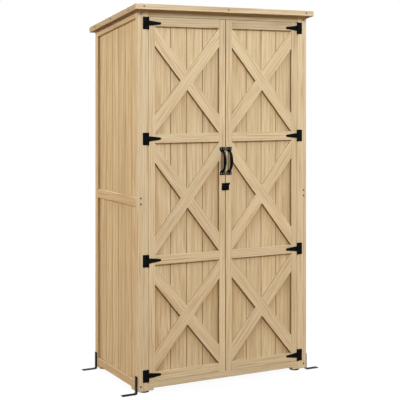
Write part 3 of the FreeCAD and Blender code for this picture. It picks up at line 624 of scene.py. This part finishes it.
def panel_dusk(tree, place, side):
    """Painted shade on the front of a door's boards in the corners of its panels: beside the stiles
    and under the rails and braces, from 1 in them to 0 a reach away from them, and deeper toward
    the ground."""
    edges = sorted(
        abs(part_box(f"{side}_door_{stile}_stile")[corner].x)
        for stile in ("lock", "hinge") for corner in (0, 1)
    )
    inner, outer = edges[1:3]
    out = abs(tree.dot(place, X))
    height = tree.dot(place, Z)

    panels = []
    rails = solids_of(f"{side}_door_rails")
    for below, above in zip(rails, rails[1:]):
        low, high = below[1].z, above[0].z
        slope = (high - low - 2 * BRACE_HALF) / (outer - inner)
        panels.append(((low + high) / 2, (high - low) / 2, slope, low))
    middle, half, slope, _ = panels[0]
    for before, after in zip(panels, panels[1:]):
        above = height > after[3] - PANEL_MARGIN
        middle = above * (after[0] - before[0]) + middle
        half = above * (after[1] - before[1]) + half
        slope = above * (after[2] - before[2]) + slope

    across = abs(out - (inner + outer) / 2)
    rise = height - middle
    drop = slope * across
    depths = [drop - rise - BRACE_HALF, -drop - rise - BRACE_HALF]
    shades = [tree.ramp(depth * (BRACE_LEAN / PANEL_SHADE_REACH), *UNDER_BRACE) for depth in depths]
    beside = tree.ramp(((outer - inner) / 2 - across) / PANEL_SHADE_REACH, *BESIDE_STILE)
    under = tree.ramp((half - rise) / PANEL_SHADE_REACH, *UNDER_RAIL)
    below = (depths[0] > 0.0).most(depths[1] > 0.0)
    beside = beside * (ABOVE_BRACES + below * (1 - ABOVE_BRACES))
    shade = (shades[0] + shades[1] + beside + under).least(1.0)
    return shade * (PANEL_SHADE_AT_GROUND - height * PANEL_SHADE_FADE) * (tree.facing(Y) < -0.5)


def underside(tree):
    """1 on the faces that look down, which take painted shade."""
    return tree.ramp(-tree.facing(Z), (0.5, 0.0), (0.9, 1.0))


def growth(tree, place, grain, seed, spacing):
    """How the boards of a node grew, with rings round a pith behind each board's face."""
    along = tree.dot(place, grain.along)
    across = tree.dot(place, grain.across)
    depth = tree.dot(place, grain.along.cross(grain.across))
    run = (tree.dot(place, grain.cells) - grain.start) / grain.pitch
    cell = run.floor()
    luck = tree.add("ShaderNodeTexWhiteNoise", {
        "W": cell * CELL_STEP + seed,
    }, "Color", noise_dimensions="1D")
    first = tree.add("ShaderNodeSeparateColor", (luck,), "Red")
    second = first.output("Green")
    third = first.output("Blue")

    middle = grain.start + (cell + 0.5) * grain.pitch if grain.cells == grain.across else 0.0
    offset = across - middle + (first - 0.5) * PITH_SIDE
    behind = depth + PITH_DEPTH + second * PITH_DEEPER + along * (third - 0.5) * PITH_LEAN

    def drawn_out(kind, luck, detail=3.0, roughness=0.5):
        fine, stretched, step = kind
        return tree.noise(tree.vector(
            offset * fine, behind * fine, along * stretched + luck * step,
        ), 1.0, detail, roughness)

    bent = (drawn_out(BENDS, second) - 0.5) * BEND
    radius = ((offset + bent) ** 2 + (behind + bent) ** 2).root()
    return Growth(
        run, second, third,
        late=tree.ramp((radius / spacing + first * RING_STEP).fract(), *RING),
        fibre=drawn_out(FIBRES, first, roughness=0.62),
        streak=drawn_out(STREAKS, third, roughness=0.65),
        broad=drawn_out(BROAD, first, roughness=0.6),
        patch=drawn_out(PATCHES, second, detail=2.0),
    )


def fir(node, grain, seed, settings):
    """Planed fir of one node, with dark joints between its boards, and painted shade near the roof,
    on the doors' edges, under the fascias and in the corners of the doors' panels.
    """
    material, tree = new_material(f"fir_{node}")
    place = tree.place()
    run, second, third, late, fibre, streak, broad, patch = growth(
        tree, place, grain, seed, settings.ring,
    )
    warmth = (WARMTH.get(node, PLAIN_WARMTH) - 0.5) * 0.5
    streaks = streak * 0.8 + broad * 0.1 + patch * 0.1 + warmth
    wood = tree.blend(tree.ramp(streaks, *WARM_STREAKS), settings.pale, settings.warm)
    for latewood in (
        late * settings.ring_depth * (0.6 + broad * 0.8),
        tree.ramp(streak, *LATE_STREAKS),
        tree.ramp(fibre, *LATE_FIBRES),
    ):
        wood = tree.blend(latewood, wood, settings.late)

    spread = settings.tone_spread
    tone = 1.0 - spread / 2 + second * spread + (broad - 0.5) * BROAD_TONE
    # Painted shade under the roof's overhang, growing with height.
    if node in ROOF_SHADE_SHARES:
        low, high = ROOF_SHADE_HEIGHTS
        roof_shaded = tree.ramp((tree.dot(place, Z) - low) / (high - low), (0.0, 0.0), (1.0, 1.0))
        tone = tone - roof_shaded * (ROOF_SHADE_SHARES[node] * settings.shelter)
    wood = tree.add("ShaderNodeHueSaturation", {
        "Hue": 0.5 + (third - 0.5) * HUE_SPREAD, "Value": tone, "Color": wood,
    })

    if node in JOINTS:
        gap = abs(run - round(run)) * (grain.pitch / settings.joint_width)
        joint = tree.ramp(gap, (0.25, JOINTS[node]), (1.0, 0.0))
        wood = tree.blend(joint, wood, settings.joint)
    # Painted shade on the door framing's edges that look down or sideways.
    if node.endswith(DOOR_FRAMING):
        edges = sawn_edges(tree, grain, place) * settings.edges
        wood = tree.blend(edges, wood, settings.joint)
    # Painted shade on the fascias' undersides.
    if "fascia" in node:
        wood = tree.blend(underside(tree) * FASCIA_UNDER_SHADE, wood, settings.joint)
    # Painted shade in the corners of the doors' panels.
    if node.endswith("door_boards"):
        dusk = panel_dusk(tree, place, node.split("_")[0]) * settings.corners
        wood = tree.blend(dusk, wood, settings.dusk)
    finish_material(
        tree, bump=late * 0.5 + fibre * 0.5, relief=settings.relief,
        base_color=wood, roughness=PLANED + late * 0.10 + fibre * 0.12,
    )
    return material


class CABINET_OT_timber(bpy.types.Operator):
    """Give every timber its own sawn and planed fir"""

    bl_idname = "cabinet.timber"
    bl_label = "Timber"

    def execute(self, context):
        settings = context.scene.cabinet_timber
        for number, (node, grain) in enumerate(TIMBER.items()):
            paint(frame["nodes"][node], fir(node, grain, number * NODE_STEP, settings))
        return {"FINISHED"}


# Ironwork

DOOR_GAP_LAP = 2.6 * MM
"""How far the latch's base laps over the gap between the doors."""
PIN_EASE = 0.6
PEEL = 900.0
CLOUD = 60.0
"""Fineness of the coat's orange peel and of its dull clouds."""
COAT_PALER = 1.6
COAT_RELIEF = 0.10 * MM
IRONWORK = (
    "ground_brackets", "left_hinge_plates", "right_hinge_plates", "left_hinge_straps",
    "right_hinge_straps", "hinge_pins", "latch_base", "latch_keeper", "latch_bolt",
)


def powder_coat(settings):
    """Black powder coat: a fine orange peel, with the sheen uneven from place to place."""
    material, tree = new_material("black_powder_coat")
    place = tree.place()
    peel = tree.noise(place, PEEL, 3.0, 0.6)
    cloud = tree.noise(place, CLOUD, 3.0, 0.55)
    paler = [channel * COAT_PALER for channel in settings.coat]
    finish_material(
        tree, bump=peel, relief=COAT_RELIEF,
        base_color=mottled(tree, cloud, 0.35, settings.coat, paler),
        roughness=settings.roughness + (cloud - 0.5) * 0.22 + (peel - 0.5) * 0.10,
        specular_ior_level=settings.sheen,
    )
    return material


class CABINET_OT_ironwork(bpy.types.Operator):
    """Round the edges of the plates, straps, brackets and the latch, and coat them black"""

    bl_idname = "cabinet.ironwork"
    bl_label = "Ironwork"

    def execute(self, context):
        settings = context.scene.cabinet_iron
        coat = powder_coat(settings)
        for node in IRONWORK:
            width = settings.edge * (PIN_EASE if node == "hinge_pins" else 1.0)
            lap = DOOR_GAP_LAP if node == "latch_base" else 0.0
            piece = eased_copy(node, node + "_coated", width, lap)
            put(piece, body_of(node), "black_iron", coat, node)
        return {"FINISHED"}


# Strips beside the doors

STRIP = (
    (397.25, -252.5), (397.55, -252.8), (398.2, -252.8), (398.2, -244.0), (397.25, -244.0),
)
"""Section of the strip that closes most of the gap between a door and its post, in mm."""


class CABINET_OT_gap_strips(bpy.types.Operator):
    """Close most of the gap between each door and its post with a thin strip on the post"""

    bl_idname = "cabinet.gap_strips"
    bl_label = "Gap strips"

    def execute(self, context):
        low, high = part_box("left_door_hinge_stile")
        mesh = bmesh.new()
        for sign in (-1, 1):
            add_prism(mesh, STRIP, lambda u, v, end: (
                sign * u * MM, v * MM, high.z if end else low.z,
            ))
        bmesh.ops.recalc_face_normals(mesh, faces=mesh.faces)
        fir_of_post = bpy.data.materials["fir_front_right_post"]
        put(object_from("door_gap_strips", mesh), "cabinet", "frame_timber", fir_of_post)
        return {"FINISHED"}


# Pull handles

PLATE_ROUND = 8.6 * MM
PLATE_CORNER = 1.6 * MM
PLATE_THICK = 3 * MM
PLATE_HEIGHT = 20 * MM
PLATE_LAP = 1 * MM
ARC_STEP = 15
GRIP_STEPS = 48
GRIP_SIDES = 20
FLARE = 0.7
FLARE_START = 68
"""How much wider the grip's feet are than its neck, and the angle at which they begin."""
CASTING_PASSES = 5


def plate_outline(width, height):
    """Outline of a handle's end plate: square at its outer end, rounded toward the grip."""
    points = []
    for x, y, radius, start in (
        (width / 2 - PLATE_ROUND, PLATE_ROUND, PLATE_ROUND, -90),
        (width / 2 - PLATE_CORNER, height - PLATE_CORNER, PLATE_CORNER, 0),
        (PLATE_CORNER - width / 2, height - PLATE_CORNER, PLATE_CORNER, 90),
        (PLATE_ROUND - width / 2, PLATE_ROUND, PLATE_ROUND, 180),
    ):
        for turn in range(0, 90 + ARC_STEP, ARC_STEP):
            angle = math.radians(start + turn)
            points.append((x + radius * math.cos(angle), y + radius * math.sin(angle)))
    return points


def add_grip(mesh, settings, centre, face):
    """The grip: a round section along half an ellipse, slimmer at its feet and flared into the
    plates."""
    neck = settings.neck_radius
    rings = []
    for step in range(GRIP_STEPS + 1):
        turn = math.pi * (step / GRIP_STEPS - 0.5)
        outward = math.cos(turn)
        upward = math.sin(turn)
        reach = 1 / math.hypot(outward / settings.rise, upward / (settings.span / 2))
        flare = max(0.0, abs(math.degrees(turn)) - FLARE_START) / (90 - FLARE_START)
        width, depth = (
            (neck + (full - neck) * outward) * (1 + FLARE * flare * flare)
            for full in (settings.grip_width, settings.grip_depth)
        )
        inward = (depth - neck) / 2
        ring = []
        for side in range(GRIP_SIDES):
            angle = 2 * math.pi * side / GRIP_SIDES
            distance = reach - inward + depth * math.sin(angle)
            ring.append(mesh.verts.new((
                centre.x + width * math.cos(angle),
                face - distance * outward,
                centre.z + distance * upward,
            )))
        rings.append(ring)
    for near, far in zip(rings, rings[1:]):
        for side in range(GRIP_SIDES):
            after = (side + 1) % GRIP_SIDES
            mesh.faces.new((near[side], near[after], far[after], far[side]))
    mesh.faces.new(reversed(rings[0]))
    mesh.faces.new(rings[-1])


def cast_handle(node, settings, coat):
    """A bow handle as one casting, its grip blended into its two plates."""
    low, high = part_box(node)
    centre = (low + high) / 2
    face = high.y
    foot = (high.z - low.z) / 2 - PLATE_HEIGHT
    mesh = bmesh.new()
    outline = plate_outline(high.x - low.x + 2 * PLATE_LAP, PLATE_HEIGHT)
    for end in (1, -1):
        add_prism(mesh, outline, lambda u, v, level: (
            centre.x + u, face - PLATE_THICK * level, centre.z + end * (foot + v),
        ))
    add_grip(mesh, settings, centre, face)
    bmesh.ops.recalc_face_normals(mesh, faces=mesh.faces)
    obj = object_from(node + "_parts", mesh)
    remesh = obj.modifiers.new("Casting", "REMESH")
    remesh.mode = "VOXEL"
    remesh.voxel_size = settings.cast_grain
    even = obj.modifiers.new("Blend", "SMOOTH")
    even.factor = 0.5
    even.iterations = CASTING_PASSES
    result = applied(obj, node + "_cast")
    result.data.shade_smooth()
    return put(result, body_of(node), "black_iron", coat, node)


class CABINET_OT_pull_handles(bpy.types.Operator):
    """Cast the two bow handles"""

    bl_idname = "cabinet.pull_handles"
    bl_label = "Pull handles"

    def execute(self, context):
        coat = bpy.data.materials["black_powder_coat"]
        for node in ("left_handle", "right_handle"):
            cast_handle(node, context.scene.cabinet_handle, coat)
        return {"FINISHED"}


# Screws

HEAD_CELLS = 17
CROSS_WIDTH = 0.10
CROSS_REACH = 0.62
CROSS_DEPTH = 0.42
DOME = 0.62
"""The cross in a screw's head and how round the head is, as shares of its radius and height."""
SPIN = 3.1
STEEL_GRAIN = 700.0
STEEL_DARKER = 0.55
STEEL_RELIEF = 0.04 * MM

METAL = 2 * MM
LATCH_METAL = 1.5 * MM
BRACKET_METAL = 2.5 * MM
HINGE_AXIS = 397.25 * MM
FRONT = -254 * MM
SIDE = 450 * MM
ROOF_PITCH = math.radians(7.7)
WALL_TOP = 1730 * MM
"""How thick the plates are, and where the faces are that the screws sit on."""

LEAF_SCREWS = ((14.9, 19.0), (14.9, -19.0), (7.6, 0.0))
"""How far in from a leaf's outer edge and above its middle each screw sits, in mm."""
STRAP_SCREWS = (15.4, 37.1, 58.4)
"""How far in from the hinge's axis, in mm."""
HANDLE_SCREW = (7 * MM, 57 * MM)
"""How far to the side of a handle's middle and above it."""
LATCH_RISE = 12.6 * MM
BASE_SCREWS = (4.6, 14.0)
KEEPER_SCREWS = (4.6,)
"""How far in from the plate's left edge, in mm."""
BRACKET_SCREWS = (34, 64)
POST_SCREWS = (33.5, 851.5, 877.8, 1705.5)
"""How high they sit, in mm."""
POST_SCREW = 434 * MM
FRONT_FASCIA = -31
FRONT_FASCIA_SCREWS = (-431, 0, 431)
SIDE_FASCIA = 472
SIDE_FASCIA_SCREWS = (53, 261, 462)
FASCIA_RISE = 3.2 * MM
"""Where the fascias' faces and screws are, in mm on the roof's own slope."""


def screw_tree():
    """Geometry nodes that set a cross-headed screw on each point, facing its facing attribute."""
    group = bpy.data.node_groups.new("Screw heads", "GeometryNodeTree")
    for name, kind in (
        ("Places", "Geometry"), ("Head radius", "Float"), ("Head height", "Float"),
        ("Seed", "Int"), ("Finish", "Material"),
    ):
        group.interface.new_socket(name, in_out="INPUT", socket_type="NodeSocket" + kind)
    group.interface.new_socket("Screws", in_out="OUTPUT", socket_type="NodeSocketGeometry")
    tree = Tree(group)
    given = tree.add("NodeGroupInput", output="Places")
    radius = given.output("Head radius")
    height = given.output("Head height")

    grid = tree.add("GeometryNodeMeshGrid", (2.0, 2.0, HEAD_CELLS, HEAD_CELLS), "Mesh")
    place = tree.add("GeometryNodeInputPosition")
    u = tree.add("ShaderNodeSeparateXYZ", (place,), "X")
    v = u.output("Y")
    disc_x = u * (1.0 - v * v / 2).root()
    disc_y = v * (1.0 - u * u / 2).root()
    disc = tree.add("GeometryNodeSetPosition", {
        "Geometry": grid, "Position": tree.vector(disc_x * radius, disc_y * radius, 0.0),
    })
    reach = abs(u).most(abs(v))
    narrow = abs(u).least(abs(v))
    recess = (narrow < CROSS_WIDTH) * (reach < CROSS_REACH)
    dome = (1.0 - (disc_x * disc_x + disc_y * disc_y) * DOME).most(0.0).root()
    stored = tree.add("GeometryNodeStoreNamedAttribute", {
        "Geometry": disc, "Name": "crown", "Value": height * (dome - recess * CROSS_DEPTH),
    }, data_type="FLOAT", domain="POINT")
    raised = tree.add("GeometryNodeExtrudeMesh", {
        "Mesh": stored, "Offset Scale": 0.0, "Individual": False,
    }, "Mesh")
    crown = tree.add("GeometryNodeInputNamedAttribute", {
        "Name": "crown",
    }, "Attribute", data_type="FLOAT")
    domed = tree.add("GeometryNodeSetPosition", {
        "Geometry": raised, "Selection": raised.output("Top"),
        "Offset": tree.vector(0.0, 0.0, crown),
    })
    under = tree.add("GeometryNodeFlipFaces", (disc,))
    both = tree.add("GeometryNodeJoinGeometry", (domed,))
    tree.tree.links.new(under.socket, both.socket.node.inputs[0])
    head = tree.add("GeometryNodeMergeByDistance", {"Geometry": both, "Distance": 0.001 * MM})

    facing = tree.add("GeometryNodeInputNamedAttribute", {
        "Name": "facing",
    }, "Attribute", data_type="FLOAT_VECTOR")
    outward = tree.add("FunctionNodeAlignRotationToVector", {"Vector": facing}, axis="Z")
    spin = tree.add("FunctionNodeRandomValue", {
        2: 0.0, 3: SPIN, "Seed": given.output("Seed"),
    }, 1, data_type="FLOAT")
    turn = tree.add("FunctionNodeAxisAngleToRotation", {"Axis": (0.0, 0.0, 1.0), "Angle": spin})
    set_by = tree.add("FunctionNodeRotateRotation", {
        "Rotation": outward, "Rotate By": turn,
    }, rotation_space="LOCAL")
    placed = tree.add("GeometryNodeInstanceOnPoints", {
        "Points": given, "Instance": head, "Rotation": set_by,
    })
    solid = tree.add("GeometryNodeRealizeInstances", (placed,))
    finished = tree.add("GeometryNodeSetMaterial", {
        "Geometry": solid, "Material": given.output("Finish"),
    })
    tree.add("NodeGroupOutput", (finished,))
    return group


def screws(name, body, slot, places, radius, height, finish, tree, seed):
    """Screw heads on one body, each at a place with the way that it faces."""
    points = bpy.data.meshes.new(name + "_places")
    points.from_pydata([place for place, facing in places], [], [])
    facings = points.attributes.new("facing", "FLOAT_VECTOR", "POINT")
    for item, (place, facing) in zip(facings.data, places):
        item.vector = facing
    obj = linked(name + "_places", points)
    modifier = obj.modifiers.new("Screw heads", "NODES")
    modifier.node_group = tree
    values = {"Head radius": radius, "Head height": height, "Seed": seed, "Finish": finish}
    for item in tree.interface.items_tree:
        if item.in_out == "INPUT" and item.name in values:
            modifier[item.identifier] = values[item.name]
    result = applied(obj, name)
    smooth(result, SMOOTH_SCREW)
    return put(result, body, slot, finish)


def screw_steel(name, steel):
    """Steel of the screws, dulled unevenly."""
    material, tree = new_material(name)
    dull = tree.noise(tree.place(), STEEL_GRAIN, 4.0, 0.6)
    darker = [channel * STEEL_DARKER for channel in steel]
    finish_material(
        tree, bump=dull, relief=STEEL_RELIEF,
        base_color=mottled(tree, dull, 0.30, steel, darker),
        metallic=0.85, roughness=0.34 + dull * 0.24,
    )
    return material


def hinge_places():
    """Screws of all hinge leaves, and of the straps by side."""
    leaves = []
    straps = {"left": [], "right": []}
    front = FRONT - METAL
    for side, sign in (("left", -1), ("right", 1)):
        for low, high in solids_of(f"{side}_hinge_plates"):
            middle = (low.z + high.z) / 2
            edge = low.x if sign < 0 else high.x
            for inward, rise in LEAF_SCREWS:
                leaves.append((Vector((edge - sign * inward * MM, front, middle + rise * MM)), -Y))
        for low, high in solids_of(f"{side}_hinge_straps"):
            middle = (low.z + high.z) / 2
            for inward in STRAP_SCREWS:
                place = Vector((sign * (HINGE_AXIS - inward * MM), front, middle))
                straps[side].append((place, -Y))
    return leaves, straps


def handle_places(node):
    """Two screws in each plate of a handle."""
    low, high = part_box(node)
    centre = (low + high) / 2
    across, up = HANDLE_SCREW
    return [
        (Vector((centre.x + side * across, FRONT - PLATE_THICK, centre.z + end * up)), -Y)
        for side in (-1, 1) for end in (-1, 1)
    ]


def latch_places(node, columns):
    """Screws in the latch's plate, above and below the bolt."""
    low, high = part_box(node)
    middle = (low.z + high.z) / 2
    return [
        (Vector((low.x + column * MM, FRONT - LATCH_METAL, middle + end * LATCH_RISE)), -Y)
        for column in columns for end in (-1, 1)
    ]


def bracket_places():
    """Two screws in each ground bracket's upright leg."""
    places = []
    for low, high in solids_of("ground_brackets"):
        sign = -1 if low.x < 0 else 1
        face = sign * (SIDE + BRACKET_METAL)
        for height in BRACKET_SCREWS:
            places.append((Vector((face, (low.y + high.y) / 2, height * MM)), sign * X))
    return places


def post_places():
    """Screws through the front posts into the rails behind them."""
    return [
        (Vector((sign * POST_SCREW, FRONT, height * MM)), -Y)
        for sign in (-1, 1) for height in POST_SCREWS
    ]


def fascia_places():
    """Screws through the fascias, which lean with the roof."""
    lean = Matrix.Translation((0, FRONT, WALL_TOP)) @ Matrix.Rotation(-ROOF_PITCH, 4, "X")
    along = MM / math.cos(ROOF_PITCH)
    flat = [
        (Vector((across * MM, FRONT_FASCIA * along, FASCIA_RISE)), -Y)
        for across in FRONT_FASCIA_SCREWS
    ] + [
        (Vector((sign * SIDE_FASCIA * MM, run * along, FASCIA_RISE)), sign * X)
        for sign in (-1, 1) for run in SIDE_FASCIA_SCREWS
    ]
    return [(lean @ place, lean.to_3x3() @ facing) for place, facing in flat]


class CABINET_OT_screws(bpy.types.Operator):
    """Set the screws of the fittings and of the frame"""

    bl_idname = "cabinet.screws"
    bl_label = "Screws"

    def execute(self, context):
        settings = context.scene.cabinet_screws
        iron = context.scene.cabinet_iron
        coat = bpy.data.materials["black_powder_coat"]
        steel = screw_steel("plated_steel", iron.steel)
        dark = screw_steel("oiled_steel", iron.dark_steel)
        tree = screw_tree()
        small = (settings.small_radius, settings.small_height)
        large = (settings.frame_radius, settings.frame_height)
        leaves, straps = hinge_places()
        base = latch_places("latch_base", BASE_SCREWS)
        keeper = latch_places("latch_keeper", KEEPER_SCREWS)
        groups = (
            ("hinge_leaf_screws", "cabinet", leaves, small, coat),
            ("left_strap_screws", "left_door", straps["left"], small, coat),
            ("right_strap_screws", "right_door", straps["right"], small, coat),
            ("left_handle_screws", "left_door", handle_places("left_handle"), small, steel),
            ("right_handle_screws", "right_door", handle_places("right_handle"), small, steel),
            ("latch_base_screws", "left_door", base, small, coat),
            ("latch_keeper_screws", "right_door", keeper, small, coat),
            ("bracket_screws", "cabinet", bracket_places(), small, coat),
            ("post_screws", "cabinet", post_places(), large, dark),
            ("fascia_screws", "cabinet", fascia_places(), large, dark),
        )
        for seed, (name, body, places, (radius, height), finish) in enumerate(groups):
            screws(name, body, "black_iron", places, radius, height, finish, tree, seed)
        return {"FINISHED"}


# Felt and feet

FELT_GRIT = 620.0
FELT_CLOUD = 5.0
FELT_RELIEF = 0.5 * MM
RUBBER_BLOOM = 70.0
RUBBER_GRAIN = 1500.0
RUBBER_RELIEF = 0.05 * MM
PAD_EASE = 0.8 * MM


class CABINET_OT_felt(bpy.types.Operator):
    """Surface the roof with mineral felt"""

    bl_idname = "cabinet.felt"
    bl_label = "Roofing felt"

    def execute(self, context):
        settings = context.scene.cabinet_cover
        material, tree = new_material("mineral_felt")
        place = tree.place()
        grains = tree.add("ShaderNodeTexVoronoi", {"Vector": place, "Scale": FELT_GRIT}, "Color")
        grit = tree.add("ShaderNodeSeparateColor", (grains,), "Red")
        cloud = tree.noise(place, FELT_CLOUD, 4.0, 0.6)
        tint = tree.blend(grit, settings.felt, settings.grit)
        tint = mottled(tree, cloud, 0.35, tint, settings.dust, top=0.35)
        finish_material(
            tree, bump=grit, relief=FELT_RELIEF, base_color=tint, roughness=0.86 + grit * 0.10,
        )
        paint(frame["nodes"]["roof_felt"], material)
        return {"FINISHED"}


class CABINET_OT_feet(bpy.types.Operator):
    """Give the foot pads their rubber"""

    bl_idname = "cabinet.feet"
    bl_label = "Rubber feet"

    def execute(self, context):
        settings = context.scene.cabinet_cover
        material, tree = new_material("foot_rubber")
        place = tree.place()
        bloom = tree.noise(place, RUBBER_BLOOM, 4.0, 0.6)
        grain = tree.noise(place, RUBBER_GRAIN, 2.0)
        finish_material(
            tree, bump=grain, relief=RUBBER_RELIEF, roughness=0.62 + bloom * 0.2,
            base_color=tree.blend(bloom, settings.rubber, settings.bloom),
        )
        piece = eased_copy("foot_pads", "foot_pads_moulded", PAD_EASE)
        put(piece, body_of("foot_pads"), "rubber_feet", material, "foot_pads")
        return {"FINISHED"}


# Stage

FLOOR_REACH = 30.0
SHADOW_REACH = 2.0
PLAIN = (1.0, 1.0, 1.0)
MATT_WHITE = (0.9, 0.9, 0.9)
LIGHTS = (
    ("Key", (0.4, -6.0, 5.3), (0, 0, 0.6), 3.5, "key", (0.975, 1.0, 1.03)),
    ("Top", (0.4, -2.8, 5.8), (0, 0, 1.4), 3.6, "top", PLAIN),
    ("Fill", (-5.0, 1.0, 3.5), (0, 0, 0.9), 1.2, "fill", (1.0, 0.91, 0.76)),
    ("Right", (5.0, 1.4, 4.4), (0, 0, 0.9), 2.6, "rear", PLAIN),
    ("Back", (-0.8, 6.0, 4.6), (0, 0, 0.9), 3.0, "rear", PLAIN),
)
"""Each light's name, place, target, size, setting that gives its power, and tint."""
CAMERA_PLACE = (-2.3110, -4.4224, 1.3488)
CAMERA_TURN = -27.566
LENS = 91.70
SENSOR = 36
SHIFT = -0.2666


def area_light(name, place, target, size, power, tint):
    data = bpy.data.lights.new(name, "AREA")
    data.shape = "DISK"
    data.size = size
    data.energy = power
    data.color = tint
    light = linked(name, data)
    light.location = place
    light.rotation_euler = (Vector(target) - Vector(place)).to_track_quat("-Z", "Y").to_euler()


def seen_directly(tree):
    """1 where the camera, a reflection or a clear view meets the surface, and 0 for its light."""
    paths = tree.add("ShaderNodeLightPath", output="Is Camera Ray")
    return paths.most(paths.output("Is Glossy Ray")).most(paths.output("Is Transmission Ray"))


def white_floor(settings):
    """A pale floor that keeps a soft shadow."""
    data = bpy.data.meshes.new("floor")
    corners = [(x, y, 0) for x, y in ((-1, -1), (1, -1), (1, 1), (-1, 1))]
    data.from_pydata([Vector(corner) * FLOOR_REACH for corner in corners], [], [(0, 1, 2, 3)])
    floor = linked("floor", data)
    material, tree = new_material("white_floor")
    seen = seen_directly(tree)
    matt = tree.add("ShaderNodeBsdfDiffuse", {
        "Color": tree.blend(seen, settings.bounce, MATT_WHITE),
    })
    glow = tree.add("ShaderNodeEmission", {"Color": rgba(PLAIN), "Strength": 1.0})
    away = tree.add("ShaderNodeVectorMath", (tree.place(),), "Value", operation="LENGTH")
    white = tree.ramp(away / SHADOW_REACH, (0.25, settings.white), (0.65, 1.0))
    mixed = tree.add("ShaderNodeMixShader", (seen * white, matt, glow))
    tree.add("ShaderNodeOutputMaterial", {"Surface": mixed})
    data.materials.append(material)


def white_world(settings):
    """An even sky that looks white and lights softly."""
    world = bpy.data.worlds.new("Studio")
    world.use_nodes = True
    world.node_tree.nodes.clear()
    tree = Tree(world.node_tree)
    seen = seen_directly(tree)
    strength = seen + (1.0 - seen) * settings.sky
    sky = tree.add("ShaderNodeBackground", {"Color": rgba(PLAIN), "Strength": strength})
    tree.add("ShaderNodeOutputWorld", {"Surface": sky})
    bpy.context.scene.world = world


class CABINET_OT_stage(bpy.types.Operator):
    """Build the floor, the light and the camera"""

    bl_idname = "cabinet.stage"
    bl_label = "Stage"

    def execute(self, context):
        settings = context.scene.cabinet_stage
        white_floor(settings)
        white_world(settings)
        for name, place, target, size, setting, tint in LIGHTS:
            area_light(name, place, target, size, getattr(settings, setting), tint)

        data = bpy.data.cameras.new("Camera")
        data.lens = LENS
        data.sensor_width = SENSOR
        data.shift_y = SHIFT
        camera = linked("Camera", data)
        camera.location = CAMERA_PLACE
        camera.rotation_euler = (math.radians(90), 0, math.radians(CAMERA_TURN))
        context.scene.camera = camera
        context.scene.view_settings.view_transform = "Standard"
        return {"FINISHED"}


# Panel and registration

class CABINET_PT_panel(bpy.types.Panel):
    """The cabinet's settings and the operators that finish it"""

    bl_idname = "CABINET_PT_panel"
    bl_label = "Garden cabinet"
    bl_space_type = "VIEW_3D"
    bl_region_type = "UI"
    bl_category = "Cabinet"

    def draw(self, context):
        for name in SETTINGS:
            group = getattr(context.scene, name)
            box = self.layout.box()
            for prop in group.__annotations__:
                box.prop(group, prop)
        for operator in STEPS:
            self.layout.operator(operator.bl_idname)


SETTINGS = {
    "cabinet_timber": TimberSettings,
    "cabinet_iron": IronSettings,
    "cabinet_handle": HandleSettings,
    "cabinet_screws": ScrewSettings,
    "cabinet_cover": CoverSettings,
    "cabinet_stage": StageSettings,
}
STEPS = (
    CABINET_OT_timber,
    CABINET_OT_ironwork,
    CABINET_OT_gap_strips,
    CABINET_OT_pull_handles,
    CABINET_OT_screws,
    CABINET_OT_felt,
    CABINET_OT_feet,
    CABINET_OT_stage,
)
CLASSES = (*SETTINGS.values(), *STEPS, CABINET_PT_panel)


def register():
    for kind in CLASSES:
        bpy.utils.register_class(kind)
    for name, group in SETTINGS.items():
        setattr(bpy.types.Scene, name, bpy.props.PointerProperty(type=group))


def unregister():
    for name in SETTINGS:
        delattr(bpy.types.Scene, name)
    for kind in reversed(CLASSES):
        bpy.utils.unregister_class(kind)


def main():
    register()
    bpy.ops.cabinet.timber()
    bpy.ops.cabinet.ironwork()
    bpy.ops.cabinet.gap_strips()
    bpy.ops.cabinet.pull_handles()
    bpy.ops.cabinet.screws()
    bpy.ops.cabinet.felt()
    bpy.ops.cabinet.feet()
    bpy.ops.cabinet.stage()


if __name__ == "__main__":
    main()
